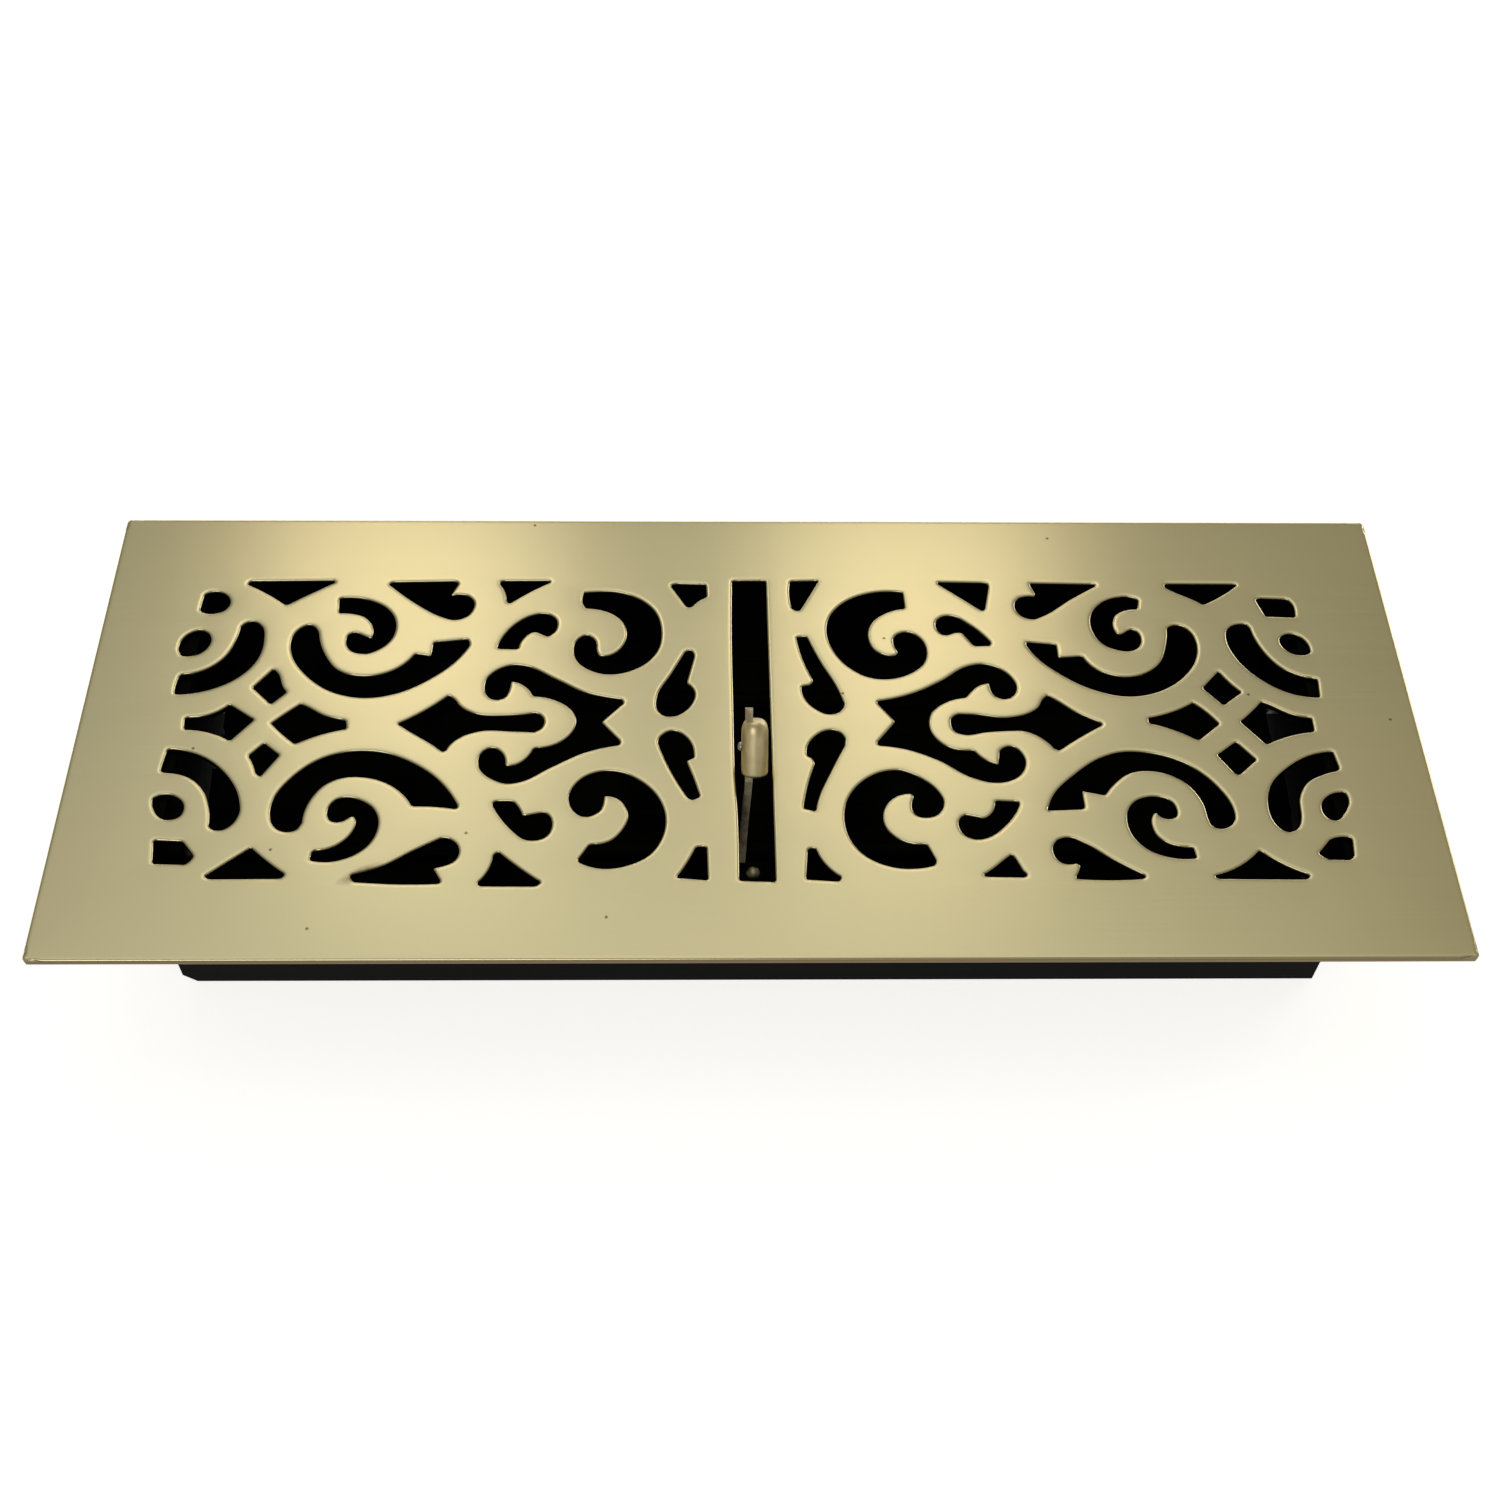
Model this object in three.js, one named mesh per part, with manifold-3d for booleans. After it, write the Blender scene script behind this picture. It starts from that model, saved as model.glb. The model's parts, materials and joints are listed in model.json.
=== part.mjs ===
// Floor register: a brass faceplate with a hand-cut scroll pattern over a black sheet-steel
// damper box. Two long louvres turn together on a link bar, worked by a lever whose brass
// barrel knob stands in the slot across the middle of the plate.
// Millimetres. +X runs along the length, +Y to the far side, +Z up out of the duct.
// The origin is at the bottom of the box, under the middle of the plate.

import * as THREE from 'three';
import { mergeVertices } from 'three/addons/utils/BufferGeometryUtils.js';
import Module from 'manifold-3d';

const wasm = await Module();
wasm.setup();

// ---- driving dimensions ----------------------------------------------------------------
const PLATE_LENGTH = 342.9;       // 13 1/2 in
const PLATE_WIDTH = 139.7;        // 5 1/2 in
const PLATE_THICK = 1.8;
const BOX_LENGTH = 293;           // passes a 12 in duct opening
const BOX_WIDTH = 99.4;           // passes a 4 in duct opening
const BOX_HEIGHT = 43.8;          // the plate's underside rests on the box at this height
const SHEET = 0.8;                // steel sheet of the box and louvres
const FLANGE = 5.7;               // end walls' top flanges, turned outward
const LEDGE = 5.2;                // long walls' bottom flanges, turned inward
const CORNER_TAB = 10;            // long walls' end tabs, folded round outside the end walls
const TAB_LOW = 8.8;              // the tabs start this high
const SNIP = 3.2;                 // near left bottom corner, snipped off

const AXIS_Y = 24.5;              // louvre pivots, each side of the middle
const AXIS_Z = 22;
const BLADE_HALF = 24;            // half a louvre's width
const BLADE_END = 141.5;          // louvre ends, each side of the middle
const ROD_R = 1.6;
const BEAD_R = 2.0;               // inside of the bead pressed round the rod
const CRANK = 12;                 // pivot to link pin
const EAR_IN = 141.1;             // inner face of the crank ears
const OPEN = THREE.MathUtils.degToRad(9);        // louvres stand this far open, far edge up
const LEVER_SET = THREE.MathUtils.degToRad(45);  // lever's slant from square to the blade
const CRANK_SET = THREE.MathUtils.degToRad(31);  // crank's slant, halving its swing

const STUD_X = 149.35;
const STUD_Y = 33.2;
const KNOB_X = 0.3;
const KNOB_LOW = 23.8;            // height of the knob's foot above the pivot, along the lever
const KNOB_HIGH = 38.2;
const KNOB_OFF = 7;               // the knob stands this far to the near side of the pivot's line
const KNOB_R = 3.35;

// ---- materials -------------------------------------------------------------------------
const metal = (color, metalness, roughness) => () =>
  new THREE.MeshStandardMaterial({ color, metalness, roughness });
const brass = metal(0xc5bb94, 1.0, 0.36);
const knobBrass = metal(0xbdb48f, 1.0, 0.3);
const blackPaint = metal(0x151513, 0.1, 0.45);
const blackened = metal(0x1c1b19, 0.6, 0.5);
const zinc = metal(0x9a9a94, 1.0, 0.4);
const nickel = metal(0xa9a08a, 1.0, 0.35);

// ---- helpers ---------------------------------------------------------------------------
// A closed mesh with merged corners and its faces pointing out.
function closed(geometry) {
  const bare = geometry.clone();
  bare.deleteAttribute('normal');
  bare.deleteAttribute('uv');
  const merged = mergeVertices(bare, 1e-4);
  const p = merged.attributes.position;
  const index = Array.from(merged.index.array);
  const [a, b, c] = [new THREE.Vector3(), new THREE.Vector3(), new THREE.Vector3()];
  const kept = [];
  let volume = 0;
  for (let i = 0; i < index.length; i += 3) {
    const [i0, i1, i2] = index.slice(i, i + 3);
    if (i0 === i1 || i1 === i2 || i2 === i0) continue;
    kept.push(i0, i1, i2);
    a.fromBufferAttribute(p, i0);
    b.fromBufferAttribute(p, i1);
    c.fromBufferAttribute(p, i2);
    volume += a.dot(b.cross(c));
  }
  merged.setIndex(volume < 0 ? kept.reverse() : kept);
  return merged;
}

function solid(geometry) {
  const g = closed(geometry);
  return new wasm.Manifold(new wasm.Mesh({
    numProp: 3,
    vertProperties: new Float32Array(g.attributes.position.array),
    triVerts: new Uint32Array(g.index.array),
  }));
}

function geometryOf(manifold) {
  const m = manifold.getMesh();
  const g = new THREE.BufferGeometry();
  g.setAttribute('position', new THREE.BufferAttribute(new Float32Array(m.vertProperties), 3));
  g.setIndex(Array.from(m.triVerts));
  return g;
}

function join(first, ...others) {
  return others.reduce((sum, g) => sum.add(solid(g)), solid(first));
}

function cut(base, ...tools) {
  return geometryOf(tools.reduce((left, g) => left.subtract(solid(g)), base));
}

const shapeOf = (points) => new THREE.Shape(points.map(([x, y]) => new THREE.Vector2(x, y)));

// A flat outline in Y and Z, drawn out along X from x0 to x1.
function alongX(points, x0, x1) {
  const g = new THREE.ExtrudeGeometry(shapeOf(points), { depth: x1 - x0, bevelEnabled: false });
  return g.rotateX(Math.PI / 2).rotateZ(Math.PI / 2).translate(x0, 0, 0);
}

// A flat outline in X and Z, drawn out along Y from y0 to y1.
function alongY(points, y0, y1) {
  const g = new THREE.ExtrudeGeometry(shapeOf(points), { depth: y1 - y0, bevelEnabled: false });
  return g.rotateX(Math.PI / 2).translate(0, y1, 0);
}

function box(x0, x1, y0, y1, z0, z1) {
  return new THREE.BoxGeometry(x1 - x0, y1 - y0, z1 - z0)
    .translate((x0 + x1) / 2, (y0 + y1) / 2, (z0 + z1) / 2);
}

// A turned piece about Z from [radius, height] steps, and the same laid along X.
function turned(profile, sides = 12) {
  const steps = profile.map(([r, h]) => new THREE.Vector2(r, h));
  return new THREE.LatheGeometry(steps, sides).rotateX(Math.PI / 2);
}
const turnedX = (profile, sides = 12) => turned(profile, sides).rotateY(Math.PI / 2);
const drillX = (r, x0, x1, y, z) =>
  turnedX([[0, x0], [r, x0], [r, x1], [0, x1]]).translate(0, y, z);
const drillZ = (r, z0, z1, x, y) =>
  turned([[0, z0], [r, z0], [r, z1], [0, z1]]).translate(x, y, 0);

// A rivet through a grip: its shop head above, its closed head below.
function rivetProfile(shank, head, grip) {
  return [[0, -0.8], [head * 0.6, -0.7], [head * 0.85, 0], [shank, 0], [shank, grip],
    [head, grip], [head * 0.85, grip + 0.6], [head * 0.45, grip + 1.05], [0, grip + 1.15]];
}

const object = new THREE.Group();
const frame = new THREE.Group();
object.add(frame);

function piece(parent, name, geometry, material) {
  const mesh = new THREE.Mesh(closed(geometry), material());
  mesh.name = name;
  parent.add(mesh);
  return mesh;
}

// ---- the scroll pattern ----------------------------------------------------------------
// Each cut-out is a ring of points. C marks a corner; every other point lies on a smooth curve.
const C = 1;
const CUT_OUTS = [
  // left end: corner pieces, leaves and the small diamonds
  [[-146.6, 37.1, C], [-146.5, 40.6], [-146, 43], [-144.4, 43.7], [-142.2, 43.7], [-140.1, 42.5],
    [-139, 40.3], [-139.4, 38.1], [-141.2, 36.5], [-143.7, 36], [-145.6, 36.4]],
  [[-145.7, 30.5], [-143.7, 29.9], [-142.3, 28], [-142.1, 26.2], [-142.9, 24], [-144.9, 22.1],
    [-147.1, 21.5], [-148.9, 21.7], [-149.8, 23], [-150, 25], [-149.7, 27.3], [-148.3, 29.2]],
  [[-148.3, 15.4, C], [-148.7, 14], [-148.6, 11.7], [-148.9, 9.5, C], [-148.3, 8.8, C],
    [-144.9, 9.2], [-140.3, 10.4], [-136, 12.3], [-132.6, 15.2], [-129.9, 18.7], [-128.7, 22.4],
    [-128.3, 26.2], [-128.7, 29.9], [-129.7, 32.2], [-132.2, 33.5], [-134.5, 32.4],
    [-135.3, 30.1], [-135.6, 26.7], [-136.9, 23], [-138.7, 19.9], [-140.6, 18.2], [-144.2, 16.4]],
  [[-124.5, 17.4, C], [-123.3, 16.2], [-122.2, 13.1], [-120.9, 10.7], [-120.1, 9.6, C],
    [-123.7, 5.7, C], [-129.1, 11.1, C], [-126.4, 14.4]],
  [[-134.1, 5.7, C], [-129.9, 2.7], [-127.2, 0.8, C], [-129.6, -2.3], [-132.4, -5.9, C],
    [-135.6, -4.4], [-139.2, -3], [-144.5, -2.4, C], [-144.9, -0.3], [-144.7, 1.5, C],
    [-141.4, 1.8], [-138.5, 2.6], [-135.8, 4.1]],
  [[-116, 5.9, C], [-112.1, 3.1], [-108.1, 1.7], [-103.9, 0.6, C], [-103.5, -2.2, C],
    [-106.7, -2.9], [-110.6, -4.3], [-116, -7, C], [-119.6, -4], [-122.8, -0.4, C],
    [-119.9, 2.1], [-117.4, 4.7]],
  [[-123.7, -6.6, C], [-119.3, -10.4, C], [-120.8, -12.9], [-123.3, -17.1, C], [-124.5, -16.1],
    [-125.5, -13.3], [-127.1, -10.6, C], [-125.5, -9]],
  [[-147.6, -8.4, C], [-144.6, -8.7], [-140, -10.1], [-136, -12.5], [-132.4, -15.7],
    [-129.6, -19.7], [-127.8, -23.3], [-126.9, -27.2], [-127.3, -29.7], [-128.9, -32.2],
    [-131.5, -33.3], [-133.5, -32.4], [-134.1, -29.9], [-134.5, -26.5], [-135.6, -23.3],
    [-137.8, -20], [-140.6, -17.6], [-144.2, -16.3], [-147.7, -15.8, C], [-148.3, -15.2, C],
    [-148, -11.5]],
  [[-148.9, -23.5, C], [-147.1, -22.6], [-144.6, -22.5], [-142.6, -23.5], [-141.2, -24.9],
    [-140.7, -26.9], [-141.3, -29], [-143.7, -30.1], [-145.6, -29.8], [-147.4, -28.1],
    [-148.4, -25.8]],
  [[-146.5, -36, C], [-143, -36.3], [-139.4, -36.4, C], [-136.2, -40.4, C], [-136.2, -41.3, C],
    [-137.8, -43.2, C], [-141.7, -43.4], [-145.6, -42.9, C], [-146.6, -38.3]],
  // left: the row of triangles and blobs along each long side
  [[-134.6, 47.6, C], [-112.4, 47.9, C], [-112, 47.1], [-113.5, 45.9], [-119.9, 42.2],
    [-122.6, 40], [-124, 39, C], [-125.2, 40], [-129.9, 43.4], [-134.4, 45.7], [-135.2, 46.5]],
  [[-96.7, 47.3, C], [-79.6, 47.7, C], [-78.6, 46.9, C], [-79.6, 45.1], [-80.5, 42.5, C],
    [-79.1, 42.8], [-76.7, 42.8], [-74.9, 41.8], [-73.9, 39.7], [-74.4, 37.1], [-76, 34.9],
    [-78.7, 34], [-81.4, 34.6], [-84.9, 36.9], [-90, 40], [-96.5, 45.6], [-97.3, 46.4]],
  [[-67.4, 47.8, C], [-54.2, 47.9, C], [-54, 47.2, C], [-57.4, 44.9], [-61, 42.6],
    [-63.9, 40.1], [-64.8, 39.8, C], [-65.3, 40.3, C], [-65.5, 42.4], [-66.2, 44.4],
    [-67.6, 46.7, C]],
  [[-122.6, -38.2, C], [-120.6, -40.4], [-117.4, -43.1], [-113.9, -45.4], [-113.4, -46.2, C],
    [-114.4, -47.2, C], [-131.5, -47.3, C], [-132.7, -46.5, C], [-131.7, -45.3],
    [-128.5, -42.9], [-124.9, -40.6]],
  [[-76, -35.4], [-73.9, -36.1], [-72.4, -37.8], [-72, -39.9], [-72.8, -42], [-74.6, -43.3],
    [-76.4, -43.7], [-77.9, -44.4, C], [-76.8, -46.1], [-75.8, -47.9, C], [-76.2, -48.7, C],
    [-86.7, -48.8], [-96.5, -48.2, C], [-97.7, -46.9, C], [-97.3, -46], [-94.6, -45.1],
    [-90.3, -43.6], [-86.7, -41.7], [-82.4, -38.6], [-78.9, -36.3]],
  [[-62.6, -39.6, C], [-63.5, -40.2, C], [-63.8, -42.6], [-65.3, -46.3], [-66.9, -48.4, C],
    [-66.5, -49.4, C], [-52.8, -49.5, C], [-51.6, -48.3, C], [-54.9, -45.8], [-59.2, -42.4],
    [-61.9, -39.9]],
  // left: the two great arcs, each with a hook inside it
  [[-117.3, 32.3], [-115.3, 31.5], [-114.3, 29.9], [-113.3, 26.7], [-112.3, 23.3],
    [-110.6, 20.3], [-108.7, 17.8], [-106, 16], [-102.8, 15.2], [-99.2, 15.2], [-95.6, 15.9],
    [-92.8, 17.4], [-90.3, 19.6], [-89, 21.2], [-88.3, 22.5, C], [-83.9, 21.7, C],
    [-83.6, 24.2], [-83.7, 26.4, C], [-77.4, 27.4], [-74.8, 27.5, C], [-74.1, 25.4, C],
    [-75.6, 22.2], [-78.1, 19.4], [-81.7, 15.8], [-85.6, 12.5], [-90.3, 9.9], [-94.9, 8.4],
    [-100, 7.8], [-103.5, 8.1], [-107.8, 9.4], [-112.1, 11.9], [-116.4, 15.8], [-119.4, 19.9],
    [-120.7, 23.5], [-121.1, 26.4], [-120.5, 29.4], [-119, 31.4]],
  [[-110.1, 41.7, C], [-106.4, 41.7], [-103.1, 41.1], [-100.1, 40.2], [-98, 38.9],
    [-95.6, 36.4], [-94.4, 33.5], [-94.1, 31], [-94.6, 28.1], [-96, 26], [-98.1, 23.7],
    [-100.5, 22.5], [-102.1, 22.4], [-104.7, 23.1], [-106.2, 24.8], [-106.7, 27.1],
    [-106.2, 29.1], [-104.6, 29.7], [-102.8, 29.1], [-100.1, 27.6, C], [-99.8, 29.9],
    [-100.4, 32.1], [-101.9, 34.3], [-104.6, 35.8], [-109.7, 36.3, C], [-109.9, 38.9]],
  [[-114.8, -33.7], [-117.3, -32.7], [-118.8, -30.4], [-119.3, -27.2], [-118.9, -23.6],
    [-117.3, -20.1], [-114.9, -16.7], [-111.7, -13.5], [-108.1, -11.1], [-103.9, -9.5],
    [-100, -9.2], [-96, -9.3], [-91.4, -10.1], [-87.4, -11.7], [-83.9, -14.2], [-79.9, -17.2],
    [-76.7, -20.1], [-74.8, -23.4], [-73.3, -26, C], [-73.7, -26.9, C], [-76.7, -26.6],
    [-80.3, -26.1], [-84.5, -26.1, C], [-86.7, -23.3], [-89.6, -20.4], [-93.1, -18.3],
    [-96.7, -17.4], [-100, -17.2], [-103.1, -17.6], [-106.7, -19.4], [-108.9, -21.9],
    [-110.1, -25.1], [-110.8, -28.6], [-111.3, -31.3], [-112.4, -33.1]],
  [[-101, -23.3], [-99, -23.6], [-97.1, -24.4], [-94.7, -26], [-93.1, -28.6], [-92.4, -31.1],
    [-93, -34.7], [-94.2, -37.4], [-96.4, -39.7], [-98.9, -41.1], [-101.7, -42.1],
    [-104.9, -42.5], [-107.9, -42, C], [-107.6, -39.2, C], [-104.9, -38.7], [-102.1, -37.6],
    [-100.1, -36], [-98.9, -34.2], [-98, -32.2], [-98, -30.4], [-98.5, -29.3], [-99.4, -29.2],
    [-101.1, -30.4], [-102.8, -30.9], [-104.6, -30.1], [-105.3, -27.9], [-104.8, -25.4],
    [-103.3, -23.8]],
  // left: the long key lying in the forked scroll
  [[-90.7, -0.5, C], [-86, 2.4], [-82.4, 5.1], [-79.9, 7.3], [-78.4, 8.7, C], [-77.3, 8],
    [-76, 6.1], [-73.9, 4.2], [-70.6, 2.6], [-66.7, 2], [-63.1, 2.3], [-59.6, 2.8],
    [-55.6, 3], [-54, 2.1], [-53.3, 0.1], [-53.9, -1.9], [-55.3, -3.1], [-57.8, -3.4],
    [-61.7, -2.9], [-66, -2.7], [-69.9, -3], [-73.5, -4.3], [-75.6, -5.8], [-76.9, -7.2],
    [-77.8, -9], [-78.5, -9.4, C], [-79.4, -8.9], [-81.7, -6.7], [-85.6, -4], [-89.2, -1.7]],
  [[-69.2, 12.4], [-68.7, 14.6], [-66.7, 16.9], [-63.9, 18.4], [-61.4, 18.8], [-58.1, 18.1],
    [-54.6, 16.4], [-50, 13.5], [-46.7, 11.5], [-43.1, 9.7], [-39.6, 8.5], [-36, 7.8],
    [-33.7, 7.4, C], [-33.1, 6.2, C], [-34.9, 3.7], [-36.7, 1.9], [-38.7, 0, C],
    [-36.7, -2], [-34.6, -4.4], [-33.7, -6, C], [-33.9, -7.3, C], [-36.7, -7.9],
    [-40.3, -8.8], [-43.9, -10.2], [-47.4, -12.1], [-50, -13.6], [-54.6, -17], [-58.1, -18.6],
    [-61, -19.3], [-63.9, -18.7], [-66.7, -16.9], [-68.7, -14.7], [-69.2, -12.2],
    [-68.7, -9.7], [-67.4, -8.4], [-66, -8.1], [-64.2, -8.8], [-63.1, -10.4], [-62.5, -12.5],
    [-62.3, -13.8, C], [-60.6, -13.6], [-58.5, -12.6], [-56.7, -10.6], [-55.5, -8.2, C],
    [-53.5, -7.9], [-50, -6.9], [-47.8, -5.3], [-46, -3.1], [-45.1, -0.4], [-45.6, 2.6],
    [-47.3, 4.6], [-49.2, 6.2], [-51.4, 7.3], [-53.9, 8.1], [-56.4, 8.3, C], [-57.3, 9.7],
    [-59.2, 11.9], [-61.2, 13], [-62.6, 13.2, C], [-63, 11.4], [-63.1, 9.4], [-64, 7.8],
    [-66, 7.1], [-68.1, 8.1], [-69.1, 10.1]],
  // left: short hooks, C scrolls and commas beside the slot
  [[-66.9, 24.7, C], [-65.8, 27.8], [-64.2, 30.6], [-61.4, 33.9], [-58.1, 35.8], [-55.6, 36.3],
    [-53.1, 35.7], [-51.7, 34], [-51.5, 31.5], [-52.4, 29.4], [-53.8, 28.4], [-54.9, 28.8],
    [-57.1, 29.9], [-58.9, 29.2], [-60.3, 27.4], [-61.5, 24, C], [-66.4, 24.1, C]],
  [[-64.9, -25.4, C], [-64.4, -24.5, C], [-62.4, -24.4], [-60.1, -24.5], [-58.9, -25.4],
    [-58, -27.4], [-57.1, -28.9, C], [-54.2, -28.5], [-51.9, -27.9], [-50.5, -29],
    [-49.8, -31], [-50.2, -33.8], [-51.7, -35.6], [-54.2, -36.3], [-56.7, -35.8],
    [-59.2, -33.6], [-62.1, -30.1], [-64.2, -26.9]],
  [[-44.7, 43.8, C], [-41, 43.9], [-37.8, 44.1], [-33.9, 43.3], [-30.6, 41.9], [-28.1, 40.1],
    [-26.2, 38], [-24.8, 34.9], [-24, 31.7], [-23.8, 28.7], [-24.2, 25.3], [-25.3, 22.4],
    [-27.4, 19.6], [-31, 17.1], [-34.6, 15.8], [-37.8, 15.6], [-41, 16.4], [-44.2, 18.3],
    [-46, 20.6], [-46.7, 23.7], [-46.5, 26], [-45.6, 27.8], [-44.2, 28.8], [-42.8, 28.7],
    [-41.4, 27.4], [-40.8, 25.6], [-40.6, 23.1], [-39.9, 21.7, C], [-37.4, 22], [-35.3, 23.3],
    [-33.5, 26], [-32.9, 28.9], [-33.3, 31.7], [-34.9, 34.4], [-37.4, 36.4], [-40.3, 37.6],
    [-44.2, 38.1, C], [-44.8, 39.9], [-45.1, 42.6]],
  [[-35.6, -15.4], [-39.2, -15.6], [-42.8, -17.4], [-45.1, -20.3], [-46.1, -23.6],
    [-45.3, -26.3], [-43.7, -28.5], [-41.7, -29.3], [-39.6, -28.7], [-37.8, -26.9],
    [-37.4, -24.7], [-37.3, -23, C], [-35.3, -23.2], [-32.8, -24.7], [-31.4, -27.2],
    [-31, -29.5], [-31.9, -32.2], [-33.9, -35.1], [-36.4, -36.9], [-40.4, -37.4, C],
    [-41.4, -39], [-43.1, -42, C], [-42.4, -42.9, C], [-39.6, -44.1], [-35.6, -44.4],
    [-31.7, -43.8], [-28.1, -42.2], [-24.9, -39.7], [-22.8, -35.8], [-22, -31.9], [-22, -28.6],
    [-23, -25.1], [-25.3, -21.1], [-28.1, -18.5], [-32.1, -16.1]],
  [[-20.6, 46.9, C], [-21.6, 46.2, C], [-19.2, 42.4], [-17.1, 38.5, C], [-16, 38.5, C],
    [-14.2, 40.6], [-11.8, 42.1, C], [-12, 46.6, C]],
  [[-17.3, 23.5, C], [-15.8, 23.6], [-15.2, 22.6], [-15.2, 19.9], [-15.8, 17.2], [-16.7, 14.2],
    [-17, 12.8, C], [-15.6, 11.4], [-14.9, 9.9], [-14.9, 8], [-16.2, 4.9], [-18.5, 2.6],
    [-21.2, 1.7], [-23.5, 2.6], [-24.6, 4.6], [-24.8, 7.1], [-24.2, 9.2], [-21.7, 14.2],
    [-19.6, 18.9]],
  [[-20.6, -2.6], [-18.5, -3.3], [-16.9, -4.7], [-16, -6.9], [-15.1, -9.8], [-14.9, -11.2, C],
    [-16.9, -12.3, C], [-15.3, -16.5], [-13.4, -23.3, C], [-15.3, -24.3, C], [-16.4, -23.6],
    [-19.6, -17.6], [-22.4, -11.9], [-23.9, -7.9], [-23.9, -5.3], [-22.6, -3.5]],
  [[-14.3, -38.1, C], [-11.7, -38, C], [-11.4, -47.8, C], [-19, -47.1, C], [-17.4, -44.2],
    [-15.3, -40.4]],
  // right: commas, C scrolls and short hooks beside the slot
  [[10.8, 47.9, C], [18.5, 48.1, C], [16.1, 43.5], [14.4, 39.9], [13.2, 37.6], [12.2, 37.3],
    [11.1, 38.1], [10.6, 40.6], [10.6, 44.6]],
  [[11.9, 28.3, C], [14.7, 28.5, C], [16.5, 23.5], [19, 17.8], [21.9, 11.7], [23.5, 7.6],
    [23.7, 5.6], [22.6, 3.5], [20.1, 2.5], [17.6, 3.3], [15.1, 5.5], [13.5, 8], [12.9, 10.3],
    [12.9, 11.8, C], [15, 12.2], [16.1, 13.4, C], [14.4, 17.4], [13.1, 22.1]],
  [[20.4, -2.4], [22.2, -3.1], [23.5, -4.9], [23.3, -7.4], [21.9, -10.4], [19.7, -15.1],
    [17.6, -20.1], [16.1, -24], [15.3, -27.7, C], [12.3, -26.8, C], [12.7, -23.3],
    [14, -18.3], [15.7, -12.9, C], [14.8, -11.4], [13.6, -10.6, C], [13.8, -7.9],
    [15.1, -5.4], [16.9, -3.5], [18.6, -2.6]],
  [[13.1, -38.6, C], [14.9, -38.5, C], [15.8, -41], [18.3, -43.8], [21, -47, C],
    [20.4, -48.2, C], [12.4, -47.6, C], [12.6, -43.6]],
  [[41.1, 44, C], [36.9, 44.1], [32.2, 43.7], [28.6, 42.4], [24.7, 40.1], [21.9, 36.9],
    [20.4, 33.5], [20.1, 29.9], [20.8, 26], [22.2, 22.4], [24.4, 19.2], [27.6, 16.2],
    [31.1, 14.5], [34.4, 14], [38.3, 14.6], [41.9, 16.2], [44.7, 18.5], [46, 21.4],
    [46.2, 24.2], [45.4, 27.1], [43.6, 29.2], [41.5, 30.1], [39.4, 29.7], [37.9, 28.3],
    [37.6, 26.4], [38.1, 24.7], [38.6, 23], [37.9, 22.1], [35.8, 22.1], [32.9, 23.5],
    [31.5, 25.8], [30.9, 28.9], [31.5, 31.7], [33.3, 34.6], [36.5, 36.7], [39.4, 37.7],
    [41.4, 38.2, C], [41.4, 41.4]],
  [[36.1, -15], [32.9, -15.4], [29.4, -16.9], [25.8, -20.1], [23.6, -23.6], [22.6, -27.2],
    [22.4, -30.4], [23.1, -34.7], [25.4, -39], [28.6, -42], [31.9, -43.6], [35.8, -44.4],
    [40.4, -44.4], [43.9, -43.6, C], [44.3, -42.2, C], [43.3, -40.1], [42.3, -37.4, C],
    [39.7, -37.4], [36.5, -36.5], [33.6, -34.2], [32.2, -31.7], [31.9, -29.4], [32.4, -26.9],
    [34, -24.4], [36.5, -22.8], [39.2, -22.4], [40, -23.3], [39.4, -25.4], [39.4, -27.2],
    [40.4, -29], [42.6, -29.6], [45.1, -29], [46.9, -26.9], [47.3, -24], [46.5, -22.2],
    [44.7, -19.5], [41.9, -17.4], [38.6, -15.5]],
  [[52.6, 35.8], [54.4, 35.5], [56.9, 33.9], [60.4, 30.6], [63.6, 26.5, C], [63.1, 25.3, C],
    [59, 25.2, C], [56.1, 29.6], [54.4, 29.8], [51.9, 28.9], [50.4, 29.4], [49.3, 31.7],
    [49.5, 33.9], [50.8, 35.3]],
  [[60.4, -24.4, C], [66.1, -24.7, C], [66.2, -25.8, C], [64.4, -29.4], [61.9, -32.2],
    [58.6, -34.7], [56.5, -35.9], [54.4, -36.1], [52.2, -35.1], [50.9, -33.3], [50.6, -31.1],
    [51.3, -29.4], [52.4, -28.7, C], [54.7, -29.3], [57.1, -29.7], [59, -28.3], [59.8, -26.6]],
  // right: the forked scroll and the key lying in it
  [[32.4, 6.9, C], [36.5, 7.8], [40.1, 8.9], [44, 10.3], [47.2, 12.1], [50, 14], [53.6, 16.4],
    [57.2, 18.7], [60.1, 19.2], [63.3, 18.5], [66.1, 16.9], [68.1, 14.2], [68.9, 12.1],
    [68.5, 9.6], [67.2, 8], [65.3, 7.5], [63.3, 8.3], [62.2, 10.3], [61.9, 12.8, C],
    [60.1, 12.4], [57.9, 11], [56.1, 8.9], [55.4, 8, C], [52.6, 7.4], [50, 6.4], [47.9, 4.8],
    [46.1, 3], [45.3, 0.3], [45.4, -2.2], [46.5, -4.7], [49, -7.4], [52.4, -8.8],
    [56.1, -8.9, C], [57.2, -10.4], [59.7, -12.4], [62.1, -13.4, C], [62.4, -11.1],
    [62.9, -8.8], [64.7, -7.6], [66.5, -7.8], [67.9, -9.2], [68.9, -11.5], [68.6, -14.4],
    [67.4, -16.5], [64.7, -18.3], [62.2, -19], [59, -18.8], [55.8, -17.8], [52.2, -15.6],
    [47.2, -12.2], [43.6, -10.4], [40.1, -9], [36.1, -7.9], [32, -7.4, C], [31.6, -6.5, C],
    [33.6, -4.2], [36.7, 0.2, C], [34.7, 3], [32.4, 6, C]],
  [[51, 0.3], [51.2, 1.3], [52.6, 2.6], [54.4, 2.9], [57.6, 2.5], [61.5, 2], [65.1, 1.6],
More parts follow.
